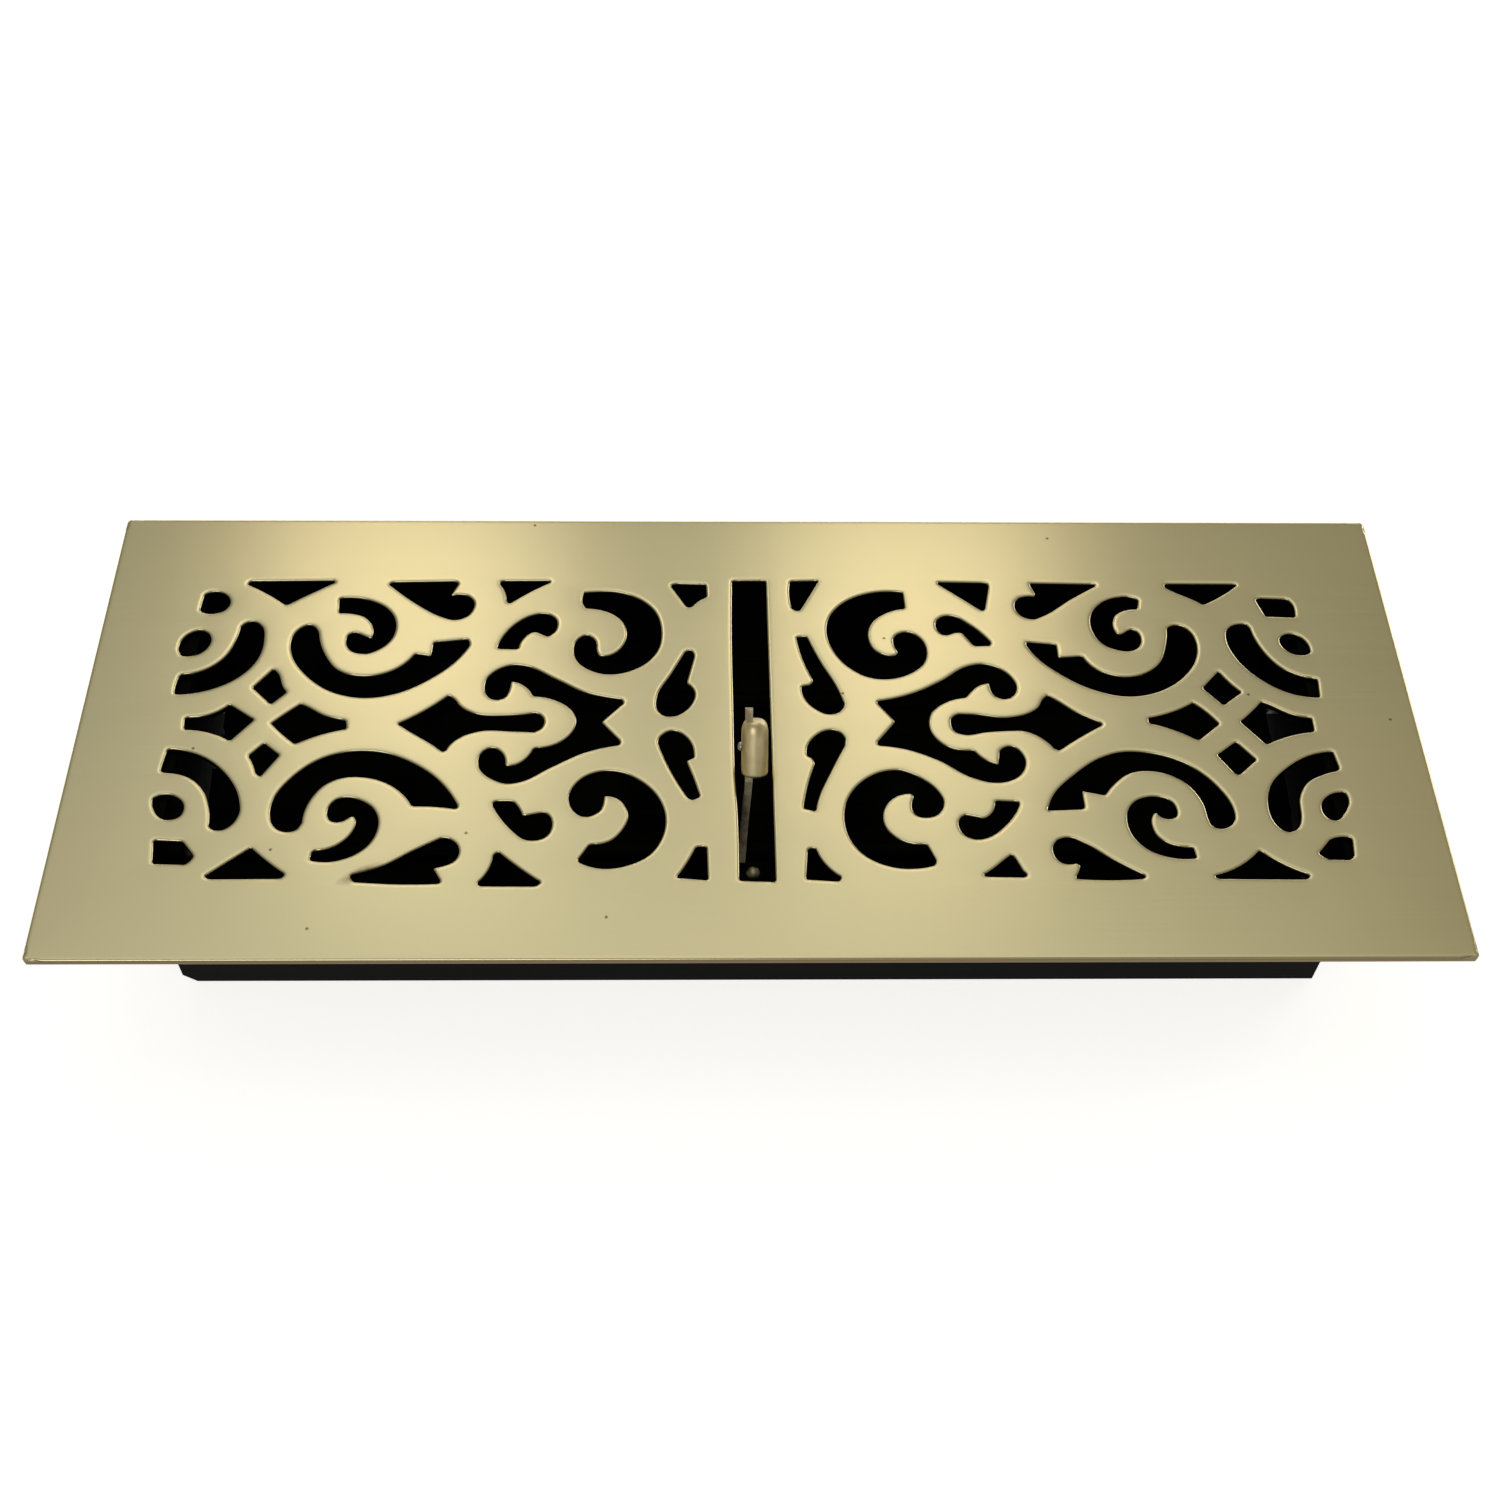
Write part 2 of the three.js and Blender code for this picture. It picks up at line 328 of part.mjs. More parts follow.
    [68.3, 1.9], [70.8, 2.8], [73.3, 4.2], [74.7, 6], [75.8, 8.1], [76.7, 8.8, C],
    [78.6, 7.2], [81.9, 4.6], [85.4, 2.1], [89.8, -0.2, C], [89.8, -1, C], [86.9, -2.9],
    [83.3, -5.1], [80.1, -7.4], [77.8, -9.1, C], [76.9, -8.5], [75.1, -6.1], [72.2, -4],
    [69, -2.7], [66.1, -2.4], [63.3, -2.6], [59.7, -3.2], [56.1, -3.9], [54, -4], [52, -3.2],
    [51.1, -1.5]],
  // right: the two great arcs, each with a hook inside it
  [[73.1, 26.7, C], [80.8, 25.8, C], [80.6, 23.5], [80.8, 21.4, C], [87.2, 21.9, C],
    [88.6, 19.4], [91.1, 17.1], [94.4, 15.5], [97.9, 14.9], [100.5, 15.2], [102.9, 16],
    [105.8, 17.8], [107.9, 20.1], [109.4, 23.1], [110.1, 26.7], [110.6, 29.9], [111.5, 31.9],
    [113.3, 32.6], [115.4, 32.1], [117.2, 30.1], [118.1, 27.1], [117.9, 23.5], [116.9, 20.1],
    [114.7, 16.7], [112.2, 14], [108.3, 11.4], [104.4, 9.4], [100, 8.5], [97.9, 8.4],
    [94, 8.9], [89.7, 10.3], [84.7, 13], [80.4, 16.2], [76.5, 19.9], [74, 23.3],
    [72.9, 25.6]],
  [[104.7, 41.4, C], [103.3, 42.2], [101.1, 42.6], [97.9, 42.1], [95.1, 40.8], [92.6, 38.5],
    [91.1, 35.3], [90.8, 32.1], [91.5, 28.9], [93.3, 26], [96.1, 24.2], [99, 23.5],
    [100.8, 23.7], [102.6, 24.8], [103.4, 26.4], [103.6, 28.5], [102.9, 30.3], [101.3, 31.1],
    [100, 30.4], [98.7, 29.5], [97.4, 29.6], [96.7, 31.4], [96.8, 33.9], [97.8, 36],
    [100, 37.4], [101.9, 37.9], [104, 38.1, C], [104.6, 39.9]],
  [[73, -27.5, C], [74, -24.4], [76.5, -21], [79.7, -17.6], [83.3, -14.5], [87.2, -11.9],
    [90.4, -10.1], [93.6, -9.5], [97.9, -9.4], [100.5, -9.7], [103.6, -10.4], [107.6, -12],
    [111.5, -14.4], [114.4, -17.2], [116.9, -20.6], [118.6, -24.2], [119.6, -27.6],
    [119.4, -30.2], [117.9, -32.2], [115.3, -33], [113.4, -32], [112.9, -29.7],
    [112.6, -26.5], [111.3, -22.9], [109.4, -19.7], [106.1, -17.2], [102.9, -15.8],
    [100.5, -15.4], [98.6, -15.4], [95.1, -16.1], [92.2, -17.9], [89.7, -20.8],
    [87.9, -22.9, C], [85.4, -22.4], [82.2, -21.5, C], [82, -24], [82.4, -26.5, C],
    [81.9, -27.1, C]],
  [[100, -23.3], [102.2, -23.5], [104.4, -24.7], [105.3, -27], [104.9, -29.4], [103.1, -30.1],
    [101.1, -29.4], [100, -28.2], [99, -29], [98.5, -31.1], [98.8, -33.6], [100, -35.8],
    [101.9, -37.2], [104.4, -38.1], [107.8, -38.4, C], [108.2, -41.7, C], [104.4, -41.9],
    [101.5, -41.3], [97.9, -39.9], [95.1, -37.6], [93.3, -34.7], [92.6, -31.1], [93.1, -27.6],
    [94.7, -25.1], [97.2, -23.6]],
  // right: the row of triangles and blobs along each long side
  [[50.8, 47.7, C], [64, 47.4, C], [64.6, 46.4, C], [63.6, 42.1], [62.8, 37.8, C],
    [62, 37.3, C], [60.8, 38.3], [56.9, 41.9], [53.3, 44.6], [51, 46.7, C]],
  [[75.9, 47.3, C], [93.6, 47, C], [93.6, 46.2, C], [90.1, 44], [84.7, 40.3], [80.1, 36.9],
    [77.6, 35.1], [75.4, 34.4], [72.9, 35.3], [71.3, 37.4], [71.1, 39.8], [72.2, 41.9],
    [74, 42.6], [76.8, 42.6, C], [77, 43.7], [76, 46]],
  [[113.1, 47.2, C], [112.4, 46.5, C], [112.8, 45.6], [116.1, 43.7], [120.1, 41.2],
    [122, 39.6, C], [123.6, 40.5], [126.5, 42.6], [130.4, 44.9], [132.1, 46.4, C],
    [131.9, 47.1, C]],
  [[62.8, -40.4, C], [63.5, -41.1, C], [64.7, -44.4], [66.2, -46.3, C], [65.6, -47.1, C],
    [56.1, -46.9, C], [55.5, -46.3, C], [57.2, -44.7], [59.7, -43.3], [61.5, -41.3]],
  [[77, -35.4], [79.4, -36], [82.9, -38.6], [86.9, -41.5], [90.1, -43.5], [95.1, -46.7, C],
    [94.4, -47.6, C], [84, -47.9], [78.3, -47.6, C], [78, -47, C], [78.6, -45.4],
    [79.4, -43.9], [78.5, -43.1], [76.3, -43.4], [74.4, -42.4], [73.3, -40.4], [73.3, -38.3],
    [74.4, -36.3]],
  [[124, -39.3, C], [125.8, -41], [128.6, -43.3], [131.9, -44.9], [134.7, -46.2],
    [135.2, -46.9, C], [134.2, -47.8, C], [112.8, -47.6, C], [111.9, -47, C],
    [112.2, -46.5, C], [116.1, -45.1], [119.7, -43.1], [122.2, -41.1]],
  // right end: corner pieces, leaves and the small diamonds
  [[136.5, 41.5, C], [137.8, 42.1, C], [142.9, 42.1], [145.4, 41.4], [146.5, 38.9],
    [146.3, 35.7, C], [146, 35.2, C], [138.3, 35.6, C], [137.4, 38.5]],
  [[143.5, 29.7], [145.8, 29], [147.6, 27], [148.1, 24.9], [148, 23.1], [146.5, 22.3],
    [144, 22.5], [142, 23.7], [140.9, 25.6], [140.6, 27.4], [141.7, 29.1]],
  [[131.1, 33], [132.6, 32.8], [133.6, 31], [134.4, 28.1], [135.4, 24.4], [136.9, 21.2],
    [139, 18.5], [142.2, 16.4], [146.1, 14.8], [148.3, 14.2, C], [148.2, 11], [147.8, 8, C],
    [144.7, 8.2], [141.1, 9.2], [137.2, 11.4], [133.3, 14.2], [130.1, 17.8], [127.9, 21.7],
    [126.9, 25.3], [126.5, 28.1], [127, 30.6], [128.6, 32.4]],
  [[122.6, 16.8, C], [123.6, 15.6], [125.4, 12.4], [127.6, 9.8, C], [124.7, 7.2],
    [122.2, 5.5, C], [120.4, 7.6], [117.6, 11.2, C], [120.4, 14.4]],
  [[114.4, 6.4, C], [115.8, 4.4], [118.3, 1.4], [120.2, -0.5, C], [116.9, -3.8],
    [114, -5.8, C], [110.8, -3.6], [107.2, -2], [102.1, -0.3, C], [102, 1.4, C], [106.1, 2.8],
    [110.4, 4.2], [113.3, 6]],
  [[132.2, 6.7, C], [135.1, 4.6], [138.3, 3], [141.9, 1.9], [144.4, 1.5, C], [144.3, -3, C],
    [140.1, -3.6], [136.5, -4.7], [133.6, -6.1], [131.3, -7.1, C], [129.7, -5.3],
    [125.7, 0.2, C], [128.3, 2.1], [130.4, 4.6]],
  [[123.5, -6.2, C], [127.9, -11.9, C], [125.4, -14.2], [122.6, -16.8, C], [121.7, -16.1],
    [120.1, -13.3], [118.1, -10.4, C], [120.8, -8.1]],
  [[147.8, -9.2, C], [146.5, -9.2], [142.9, -10.1], [139, -11.9], [135.1, -14.5],
    [132.2, -17], [130.1, -20.1], [128.9, -23.3], [128.5, -26.9], [128.9, -30.1],
    [130.1, -32.6], [132.4, -34], [134.7, -32.9], [135.8, -30.8], [136.1, -27.9],
    [136.5, -24.7], [137.6, -21.9], [140.1, -18.6], [143.6, -16.7], [148.2, -15.3, C],
    [148.5, -14.4, C], [148.1, -11.5]],
  [[148.5, -22.1], [146.9, -21.9], [144.4, -22.8], [142.4, -24.7], [141.8, -27],
    [142.4, -29.4], [144.4, -30.5], [146, -29.9], [147.2, -27.9], [148.6, -26], [149, -24]],
  [[147, -35.4, C], [147.6, -36.1, C], [147, -41.1], [145.8, -42.2, C], [143.3, -42.3],
    [140.4, -41.9], [138.5, -40.3, C], [140.4, -38.3], [142.2, -36.1], [144.7, -35.5]],
];
// The lever's slot, filed a little out of true.
const SLOT = [[-4.9, 48, C], [4.2, 48, C], [4.6, 0], [4.9, -34.7], [5, -48.3, C],
  [-3.8, -47.9, C], [-3.9, -31.1], [-4.6, -16.9], [-4.8, 0], [-5.1, 29.6]];

// Fresh points along a stretch of curve: one for each 24 degrees of bend or 9 mm of length.
function walk(points, ring) {
  const at = points.map(([x, y]) => new THREE.Vector3(x, y, 0));
  if (at.length === 2) return [at[0]];
  const curve = new THREE.CatmullRomCurve3(at, ring, 'centripetal');
  const fine = curve.getPoints(at.length * 12);
  const kept = [fine[0]];
  const before = new THREE.Vector3();
  const ahead = new THREE.Vector3();
  let bend = 0;
  for (let i = 1; i < fine.length - 1; i++) {
    before.subVectors(fine[i], fine[i - 1]);
    ahead.subVectors(fine[i + 1], fine[i]);
    bend += Math.abs(before.angleTo(ahead));
    if (bend > 0.42 || fine[i].distanceTo(kept[kept.length - 1]) > 9) {
      kept.push(fine[i]);
      bend = 0;
    }
  }
  return kept;
}

// The whole outline of a cut-out, its corners eased by a short flat.
function outline(ring) {
  const corners = ring.map((p, i) => (p[2] ? i : -1)).filter((i) => i >= 0);
  if (!corners.length) return walk([...ring], true).map((v) => [v.x, v.y]);
  const out = [];
  corners.forEach((start, n) => {
    const stop = corners[(n + 1) % corners.length];
    const count = (stop - start + ring.length) % ring.length || ring.length;
    const stretch = Array.from({ length: count + 1 }, (_, k) => ring[(start + k) % ring.length]);
    const kept = walk(stretch, false);
    const end = new THREE.Vector3(ring[stop][0], ring[stop][1], 0);
    const first = kept[0];
    const second = kept[1] ?? end;
    const last = kept[kept.length - 1];
    const lead = Math.min(0.35, 0.3 * first.distanceTo(second));
    const tail = Math.min(0.35, 0.3 * last.distanceTo(end));
    out.push(first.clone().lerp(second, lead / first.distanceTo(second)));
    out.push(...kept.slice(1));
    out.push(end.clone().lerp(last, tail / end.distanceTo(last)));
  });
  return out.map((v) => [v.x, v.y]);
}

// ---- faceplate -------------------------------------------------------------------------
const [px, py, ease] = [PLATE_LENGTH / 2, PLATE_WIDTH / 2, 0.8];
const plateShape = shapeOf([[-px + ease, -py], [px - ease, -py], [px, -py + ease],
  [px, py - ease], [px - ease, py], [-px + ease, py], [-px, py - ease], [-px, -py + ease]]);
for (const ring of [...CUT_OUTS, SLOT]) {
  plateShape.holes.push(new THREE.Path(outline(ring).map(([x, y]) => new THREE.Vector2(x, y))));
}
const plate = new THREE.ExtrudeGeometry(plateShape, { depth: PLATE_THICK, bevelEnabled: false });
piece(frame, 'faceplate', plate.translate(0, 0, BOX_HEIGHT), brass);

// Studs brazed under the plate, and the nuts that clamp the box's flanges.
const hexagon = Array.from({ length: 6 }, (_, k) => {
  const turn = (k + 0.5) * Math.PI / 3;
  return [Math.cos(turn) * 5.5 / Math.sqrt(3), Math.sin(turn) * 5.5 / Math.sqrt(3)];
});
for (const [end, sx] of [['left', -1], ['right', 1]]) {
  for (const [side, sy] of [['near', -1], ['far', 1]]) {
    const [x, y] = [sx * STUD_X, sy * STUD_Y];
    const stud = turned([[0, -8], [1.1, -8], [1.5, -7.5], [1.5, 0], [0, 0]]);
    piece(frame, `stud_${end}_${side}`, stud.translate(x, y, BOX_HEIGHT), brass);
    const nutShape = shapeOf(hexagon);
    nutShape.holes.push(new THREE.Path().absarc(0, 0, 1.7, 0, Math.PI * 2, true));
    const nut = new THREE.ExtrudeGeometry(nutShape,
      { depth: 2.4, bevelEnabled: false, curveSegments: 6 });
    piece(frame, `nut_${end}_${side}`, nut.translate(x, y, BOX_HEIGHT - SHEET - 2.4), zinc);
  }
}

// ---- damper box ------------------------------------------------------------------------
const outX = BOX_LENGTH / 2;
const inX = outX - SHEET;
const outY = BOX_WIDTH / 2;
const inY = outY - SHEET;
const RIVET_Y = 43;
const RIVET_HEIGHTS = [10.8, 33];
const everyCornerRivet = (sx) => [-RIVET_Y, RIVET_Y].flatMap((y) =>
  RIVET_HEIGHTS.map((z) => drillX(1.3, sx * outX - 3, sx * outX + 3, y, z)));

const snippedCorner = alongY([[-outX - 1, -1], [-outX + SNIP + 1, -1], [-outX - 1, SNIP + 1]],
  -outY - 1, -outY + 3);

for (const [name, s] of [['near_wall', -1], ['far_wall', 1]]) {
  const side = alongX([[s * outY, 0], [s * outY, BOX_HEIGHT], [s * inY, BOX_HEIGHT],
    [s * inY, SHEET], [s * (inY - LEDGE), SHEET], [s * (inY - LEDGE), 0]], -inX, inX);
  const ys = [s * outY, s * inY].sort((a, b) => a - b);
  const front = box(-outX, outX, ...ys, 0, BOX_HEIGHT);
  const tabs = [-1, 1].flatMap((sx) => {
    const xs = [sx * (outX - 0.3), sx * (outX + SHEET)].sort((a, b) => a - b);
    const fold = box(...xs, ...ys, TAB_LOW, BOX_HEIGHT - 2 * SHEET);
    const lapX = [sx * outX, sx * (outX + SHEET)].sort((a, b) => a - b);
    const lapY = [s * (inY + 0.3), s * (inY - CORNER_TAB)].sort((a, b) => a - b);
    return [fold, box(...lapX, ...lapY, TAB_LOW, BOX_HEIGHT - 2 * SHEET)];
  });
  const cuts = [...everyCornerRivet(-1), ...everyCornerRivet(1)];
  if (s < 0) cuts.push(snippedCorner);
  piece(frame, name, cut(join(side, front, ...tabs), ...cuts), blackPaint);
}

for (const [name, s] of [['left_end_wall', -1], ['right_end_wall', 1]]) {
  const wall = alongY([[s * inX, 0], [s * outX, 0], [s * outX, BOX_HEIGHT - SHEET],
    [s * (outX + FLANGE), BOX_HEIGHT - SHEET], [s * (outX + FLANGE), BOX_HEIGHT],
    [s * inX, BOX_HEIGHT]], -inY, inY);
  const holes = [...everyCornerRivet(s),
    ...[-AXIS_Y, AXIS_Y].map((y) => drillX(ROD_R + 0.1, s * outX - 3, s * outX + 3, y, AXIS_Z)),
    ...[-STUD_Y, STUD_Y].map((y) => drillZ(1.8, BOX_HEIGHT - 3, BOX_HEIGHT + 1, s * STUD_X, y))];
  if (s < 0) holes.push(snippedCorner);
  piece(frame, name, cut(solid(wall), ...holes), blackPaint);
}

for (const [end, sx] of [['left', -1], ['right', 1]]) {
  for (const [side, sy] of [['near', -1], ['far', 1]]) {
    RIVET_HEIGHTS.forEach((z, n) => {
      const rivet = turnedX(rivetProfile(1.2, 2.1, 2 * SHEET), 10);
      if (sx < 0) rivet.rotateY(Math.PI);
      rivet.translate(sx * inX, sy * RIVET_Y, z);
      piece(frame, `corner_rivet_${end}_${side}_${['low', 'high'][n]}`, rivet, blackened);
    });
  }
}

// ---- louvres ---------------------------------------------------------------------------
// One blade lying shut: two wings, each with a raised rib, a bead pressed over the rod in the
// middle, and a crank ear at the left end.
const half = SHEET / 2;
function beadArc(radius, from, to) {
  return Array.from({ length: 7 }, (_, k) => {
    const turn = from + (to - from) * k / 6;
    return [radius * Math.cos(turn), radius * Math.sin(turn)];
  });
}
const wide = Math.asin(half / (BEAD_R + SHEET));
const tight = Math.asin(-half / BEAD_R);
const ribTop = (s) => [[s * 13.1, half], [s * 11.5, half + 1.1], [s * 9.9, half]];
const ribUnder = (s) => [[s * 9.9 + s * 0.25, -half], [s * 11.5, half + 0.2],
  [s * 13.1 - s * 0.25, -half]];
const bladeProfile = [[BLADE_HALF, -half], [BLADE_HALF, half], ...ribTop(1),
  ...beadArc(BEAD_R + SHEET, wide, Math.PI - wide), ...ribTop(-1).reverse(),
  [-BLADE_HALF, half], [-BLADE_HALF, -half], ...ribUnder(-1).reverse(),
  ...beadArc(BEAD_R, Math.PI - tight, tight), ...ribUnder(1)];
const crankPin = new THREE.Vector2(-Math.sin(CRANK_SET) * CRANK, -Math.cos(CRANK_SET) * CRANK);
const earProfile = [[5, half], [-8, half], [-9.5, -8.5], [-9.4, -12], [-7.5, -13.6],
  [-4.8, -13.5], [-3, -12], [5, -2]];

const STEM_X = -2.9;              // the lever's stem leans over to TANG_X at the knob
const TANG_X = -1.15;
const LEVER_RIVETS = [[0.1, -6.6], [-5.9, -6.6]];

function louvreBlade(withLever) {
  const ear = alongX(earProfile, -BLADE_END - SHEET, -EAR_IN);
  const holes = [drillX(BEAD_R, -BLADE_END - 2, -EAR_IN, 0, 0),
    drillX(1.3, -BLADE_END - 2, -BLADE_END + 1, crankPin.x, crankPin.y)];
  if (withLever) LEVER_RIVETS.forEach(([x, y]) => holes.push(drillZ(1.25, -2, 2, x, y)));
  return cut(join(alongX(bladeProfile, -BLADE_END, BLADE_END), ear), ...holes);
}

// The side outline of a bent strip: its centre line thickened square to each stretch.
function strip(path, thickness) {
  const sides = [[], []];
  path.forEach(([x, y], i) => {
    const a = path[Math.max(i - 1, 0)];
    const b = path[Math.min(i + 1, path.length - 1)];
    const before = new THREE.Vector2(x - a[0], y - a[1]).normalize();
    const after = new THREE.Vector2(b[0] - x, b[1] - y).normalize();
    const along = before.clone().add(after).normalize();
    const lead = i === 0 ? after : before;
    const reach = thickness / 2 / along.dot(lead);
    sides[0].push([x + along.y * reach, y - along.x * reach]);
    sides[1].unshift([x - along.y * reach, y + along.x * reach]);
  });
  return [...sides[0], ...sides[1]];
}

const rodEnd = outX + 3.4;
const rodProfile = [[0, -rodEnd], [1.1, -rodEnd], [ROD_R, -rodEnd + 0.5],
  [ROD_R, rodEnd - 0.5], [1.1, rodEnd], [0, rodEnd]];
const capProfile = [[ROD_R + 0.15, 0], [4.2, 0], [4.2, 0.5], [2.6, 1.5], [ROD_R + 0.15, 1.5],
  [ROD_R + 0.15, 0]];
const collar = (length) => [[2, 0], [3.1, 0], [3.1, length], [2, length], [2, 0]];

for (const [side, sy] of [['near', -1], ['far', 1]]) {
  const louvre = new THREE.Group();
  louvre.position.set(0, sy * AXIS_Y, AXIS_Z);
  louvre.rotation.x = OPEN;
  frame.add(louvre);

  piece(louvre, `louvre_${side}`, louvreBlade(side === 'near'), blackPaint);
  piece(louvre, `pivot_rod_${side}`, turnedX(rodProfile), zinc);
  const left = turnedX(capProfile).rotateY(Math.PI).translate(-outX - 0.2, 0, 0);
  piece(louvre, `rod_cap_${side}_left`, left, zinc);
  piece(louvre, `rod_cap_${side}_right`, turnedX(capProfile).translate(outX + 0.2, 0, 0), zinc);
  const shortCollar = inX - BLADE_END - SHEET - 0.2;
  const longCollar = inX - BLADE_END - 0.2;
  piece(louvre, `spacer_${side}_left`,
    turnedX(collar(shortCollar)).translate(-inX + 0.1, 0, 0), zinc);
  piece(louvre, `spacer_${side}_right`,
    turnedX(collar(longCollar)).translate(BLADE_END + 0.1, 0, 0), zinc);

  // the link pin, headed each side of the crank ear and the link bar
  const pin = turnedX([[0, -145.1], [2, -145.1], [2.2, -144.5], [1.2, -144.5],
    [1.2, -EAR_IN], [2, -EAR_IN], [1.8, -EAR_IN + 0.7], [0, -EAR_IN + 0.8]]);
  piece(louvre, `link_pin_${side}`, pin.translate(0, crankPin.x, crankPin.y), nickel);
  if (side === 'far') continue;

  // ---- lever: a foot riveted to the blade, a bent stem, and a tang through the knob
  const reach = (d) => [d * Math.sin(LEVER_SET) - KNOB_OFF * Math.cos(LEVER_SET),
    d * Math.cos(LEVER_SET) + KNOB_OFF * Math.sin(LEVER_SET)];
  const foot = box(STEM_X - 5.3, STEM_X + 5.3, -9.5, -3.4, half, half + 1.6);
  const bends = [[-8.8, half + 0.8], [-5, half + 0.8], [-4.2, 2.1], [-3.9, 3.4], [3.6, 8.5],
    reach(22)];
  const stem = alongX(strip(bends, 1.6), STEM_X - 0.95, STEM_X + 0.95);
  const at = stem.attributes.position;
  for (let i = 0; i < at.count; i++) {
    const up = at.getY(i) * Math.sin(LEVER_SET) + at.getZ(i) * Math.cos(LEVER_SET);
    at.setX(i, at.getX(i) + (TANG_X - STEM_X) * THREE.MathUtils.clamp(up / 20, 0, 1));
  }
  const tang = box(TANG_X - 0.95, TANG_X + 0.95, -0.8, 0.8, 21.8, 40.9)
    .rotateX(-LEVER_SET).translate(0, ...reach(0));
  const leverHoles = LEVER_RIVETS.map(([x, y]) => drillZ(1.25, -1, 4, x, y));
  piece(louvre, 'lever', cut(join(foot, stem, tang), ...leverHoles), nickel);
  LEVER_RIVETS.forEach(([x, y], n) => {
    const rivet = turned(rivetProfile(1.1, 1.9, SHEET + 1.6), 10).translate(x, y, -half);
    piece(louvre, `lever_rivet_${n + 1}`, rivet, nickel);
  });

  // ---- knob: a turned brass barrel slipped over the tang and held by a side screw
  const grip = new THREE.Group();
  grip.rotation.x = -LEVER_SET;
  grip.position.set(0, ...reach(0));
  louvre.add(grip);
  const h = KNOB_HIGH - KNOB_LOW;
  const barrel = turned([[0, 0], [2.5, 0], [3.05, 0.3], [KNOB_R, 1.1], [KNOB_R, h - 3.3],
    [3.15, h - 1.8], [2.7, h - 0.6], [1.9, h], [0, h]], 20).translate(KNOB_X, 0, KNOB_LOW);
  const mortise = box(TANG_X - 1.15, TANG_X + 1.15, -1, 1, KNOB_LOW - 1, KNOB_HIGH + 1);
  const screwHeight = KNOB_LOW + h / 2;
  const screwHole = drillX(0.7, KNOB_X - 5, TANG_X, 0, screwHeight);
  piece(grip, 'knob', cut(solid(barrel), mortise, screwHole), knobBrass);
  const screw = turnedX([[0, -4.1], [0.9, -4.1], [1.1, -3.8], [1.1, -3.2], [0.5, -3.15],
    [0.5, -2.4], [0, -2.3]], 10);
  piece(grip, 'knob_screw', screw.translate(0, 0, screwHeight), zinc);
}

// ---- link bar: keeps the two louvres parallel, hung on their link pins -------------------
const swing = [-Math.sin(CRANK_SET - OPEN) * CRANK, -Math.cos(CRANK_SET - OPEN) * CRANK];
const barEnd = (sy) => beadArc(3, sy > 0 ? -Math.PI / 2 : Math.PI / 2,
  sy > 0 ? Math.PI / 2 : Math.PI * 1.5).map(([y, z]) => [y + sy * AXIS_Y, z]);
const barHoles = [-AXIS_Y, AXIS_Y].map((y) => drillX(1.3, -146, -140, y, 0));
const bar = cut(solid(alongX([...barEnd(1), ...barEnd(-1)], -144, -143)), ...barHoles);
piece(frame, 'link_bar', bar.translate(0, swing[0], AXIS_Z + swing[1]), zinc);

export default object;
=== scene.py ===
# %% [markdown]
# # A floor register in pierced brass
# This scene dresses a finished mechanical model: a brass faceplate cut through with scrollwork,
# a black steel damper box under it, and two louvres worked by a lever with a small barrel knob.
# The mechanical model fixes every size and every moving part, so each piece made here takes
# its place from that frame and rides on one of its bodies.

import json
import math

import bpy
import bmesh
from mathutils import Euler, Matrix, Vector
from mathutils.geometry import delaunay_2d_cdt
from mathutils.kdtree import KDTree

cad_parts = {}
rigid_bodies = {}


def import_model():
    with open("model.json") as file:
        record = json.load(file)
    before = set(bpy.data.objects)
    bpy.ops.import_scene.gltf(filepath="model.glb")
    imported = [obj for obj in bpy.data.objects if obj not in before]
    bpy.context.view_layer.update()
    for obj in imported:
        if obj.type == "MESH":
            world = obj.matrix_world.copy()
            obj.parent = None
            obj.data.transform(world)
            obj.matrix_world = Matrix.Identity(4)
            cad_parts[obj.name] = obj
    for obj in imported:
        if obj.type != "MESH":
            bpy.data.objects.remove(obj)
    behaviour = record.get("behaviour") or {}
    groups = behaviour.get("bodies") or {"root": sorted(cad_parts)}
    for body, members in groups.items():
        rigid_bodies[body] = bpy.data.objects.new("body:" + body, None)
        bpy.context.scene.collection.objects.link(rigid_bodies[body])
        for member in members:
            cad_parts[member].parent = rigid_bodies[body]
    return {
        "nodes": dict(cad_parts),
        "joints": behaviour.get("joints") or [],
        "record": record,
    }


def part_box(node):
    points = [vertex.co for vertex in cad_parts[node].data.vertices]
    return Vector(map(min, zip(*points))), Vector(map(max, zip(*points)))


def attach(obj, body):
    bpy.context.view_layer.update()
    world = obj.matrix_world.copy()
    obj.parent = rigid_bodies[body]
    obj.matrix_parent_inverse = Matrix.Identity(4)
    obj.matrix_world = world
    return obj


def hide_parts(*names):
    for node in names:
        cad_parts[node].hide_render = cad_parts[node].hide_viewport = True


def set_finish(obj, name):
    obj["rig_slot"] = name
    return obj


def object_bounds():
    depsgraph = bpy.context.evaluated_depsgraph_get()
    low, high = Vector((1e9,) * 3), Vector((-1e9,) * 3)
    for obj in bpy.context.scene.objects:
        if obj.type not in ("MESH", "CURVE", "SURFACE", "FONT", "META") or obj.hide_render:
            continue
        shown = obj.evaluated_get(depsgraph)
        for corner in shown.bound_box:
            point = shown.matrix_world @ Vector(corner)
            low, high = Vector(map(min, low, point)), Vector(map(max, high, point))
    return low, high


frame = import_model()
cad_low, cad_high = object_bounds()
nodes = frame["nodes"]
MM = 0.001
print("frame:", len(nodes), "nodes,", [round(v / MM, 1) for v in cad_high - cad_low], "mm")

# %% [markdown]
# ## The camera
# A product picture of a flat thing is taken from a little above, so the plate opens up but its
# thickness and the box still show. The lens is a short telephoto standing half a metre away.
# The tilt is measured from straight down, and a touch of roll levels the near edge.

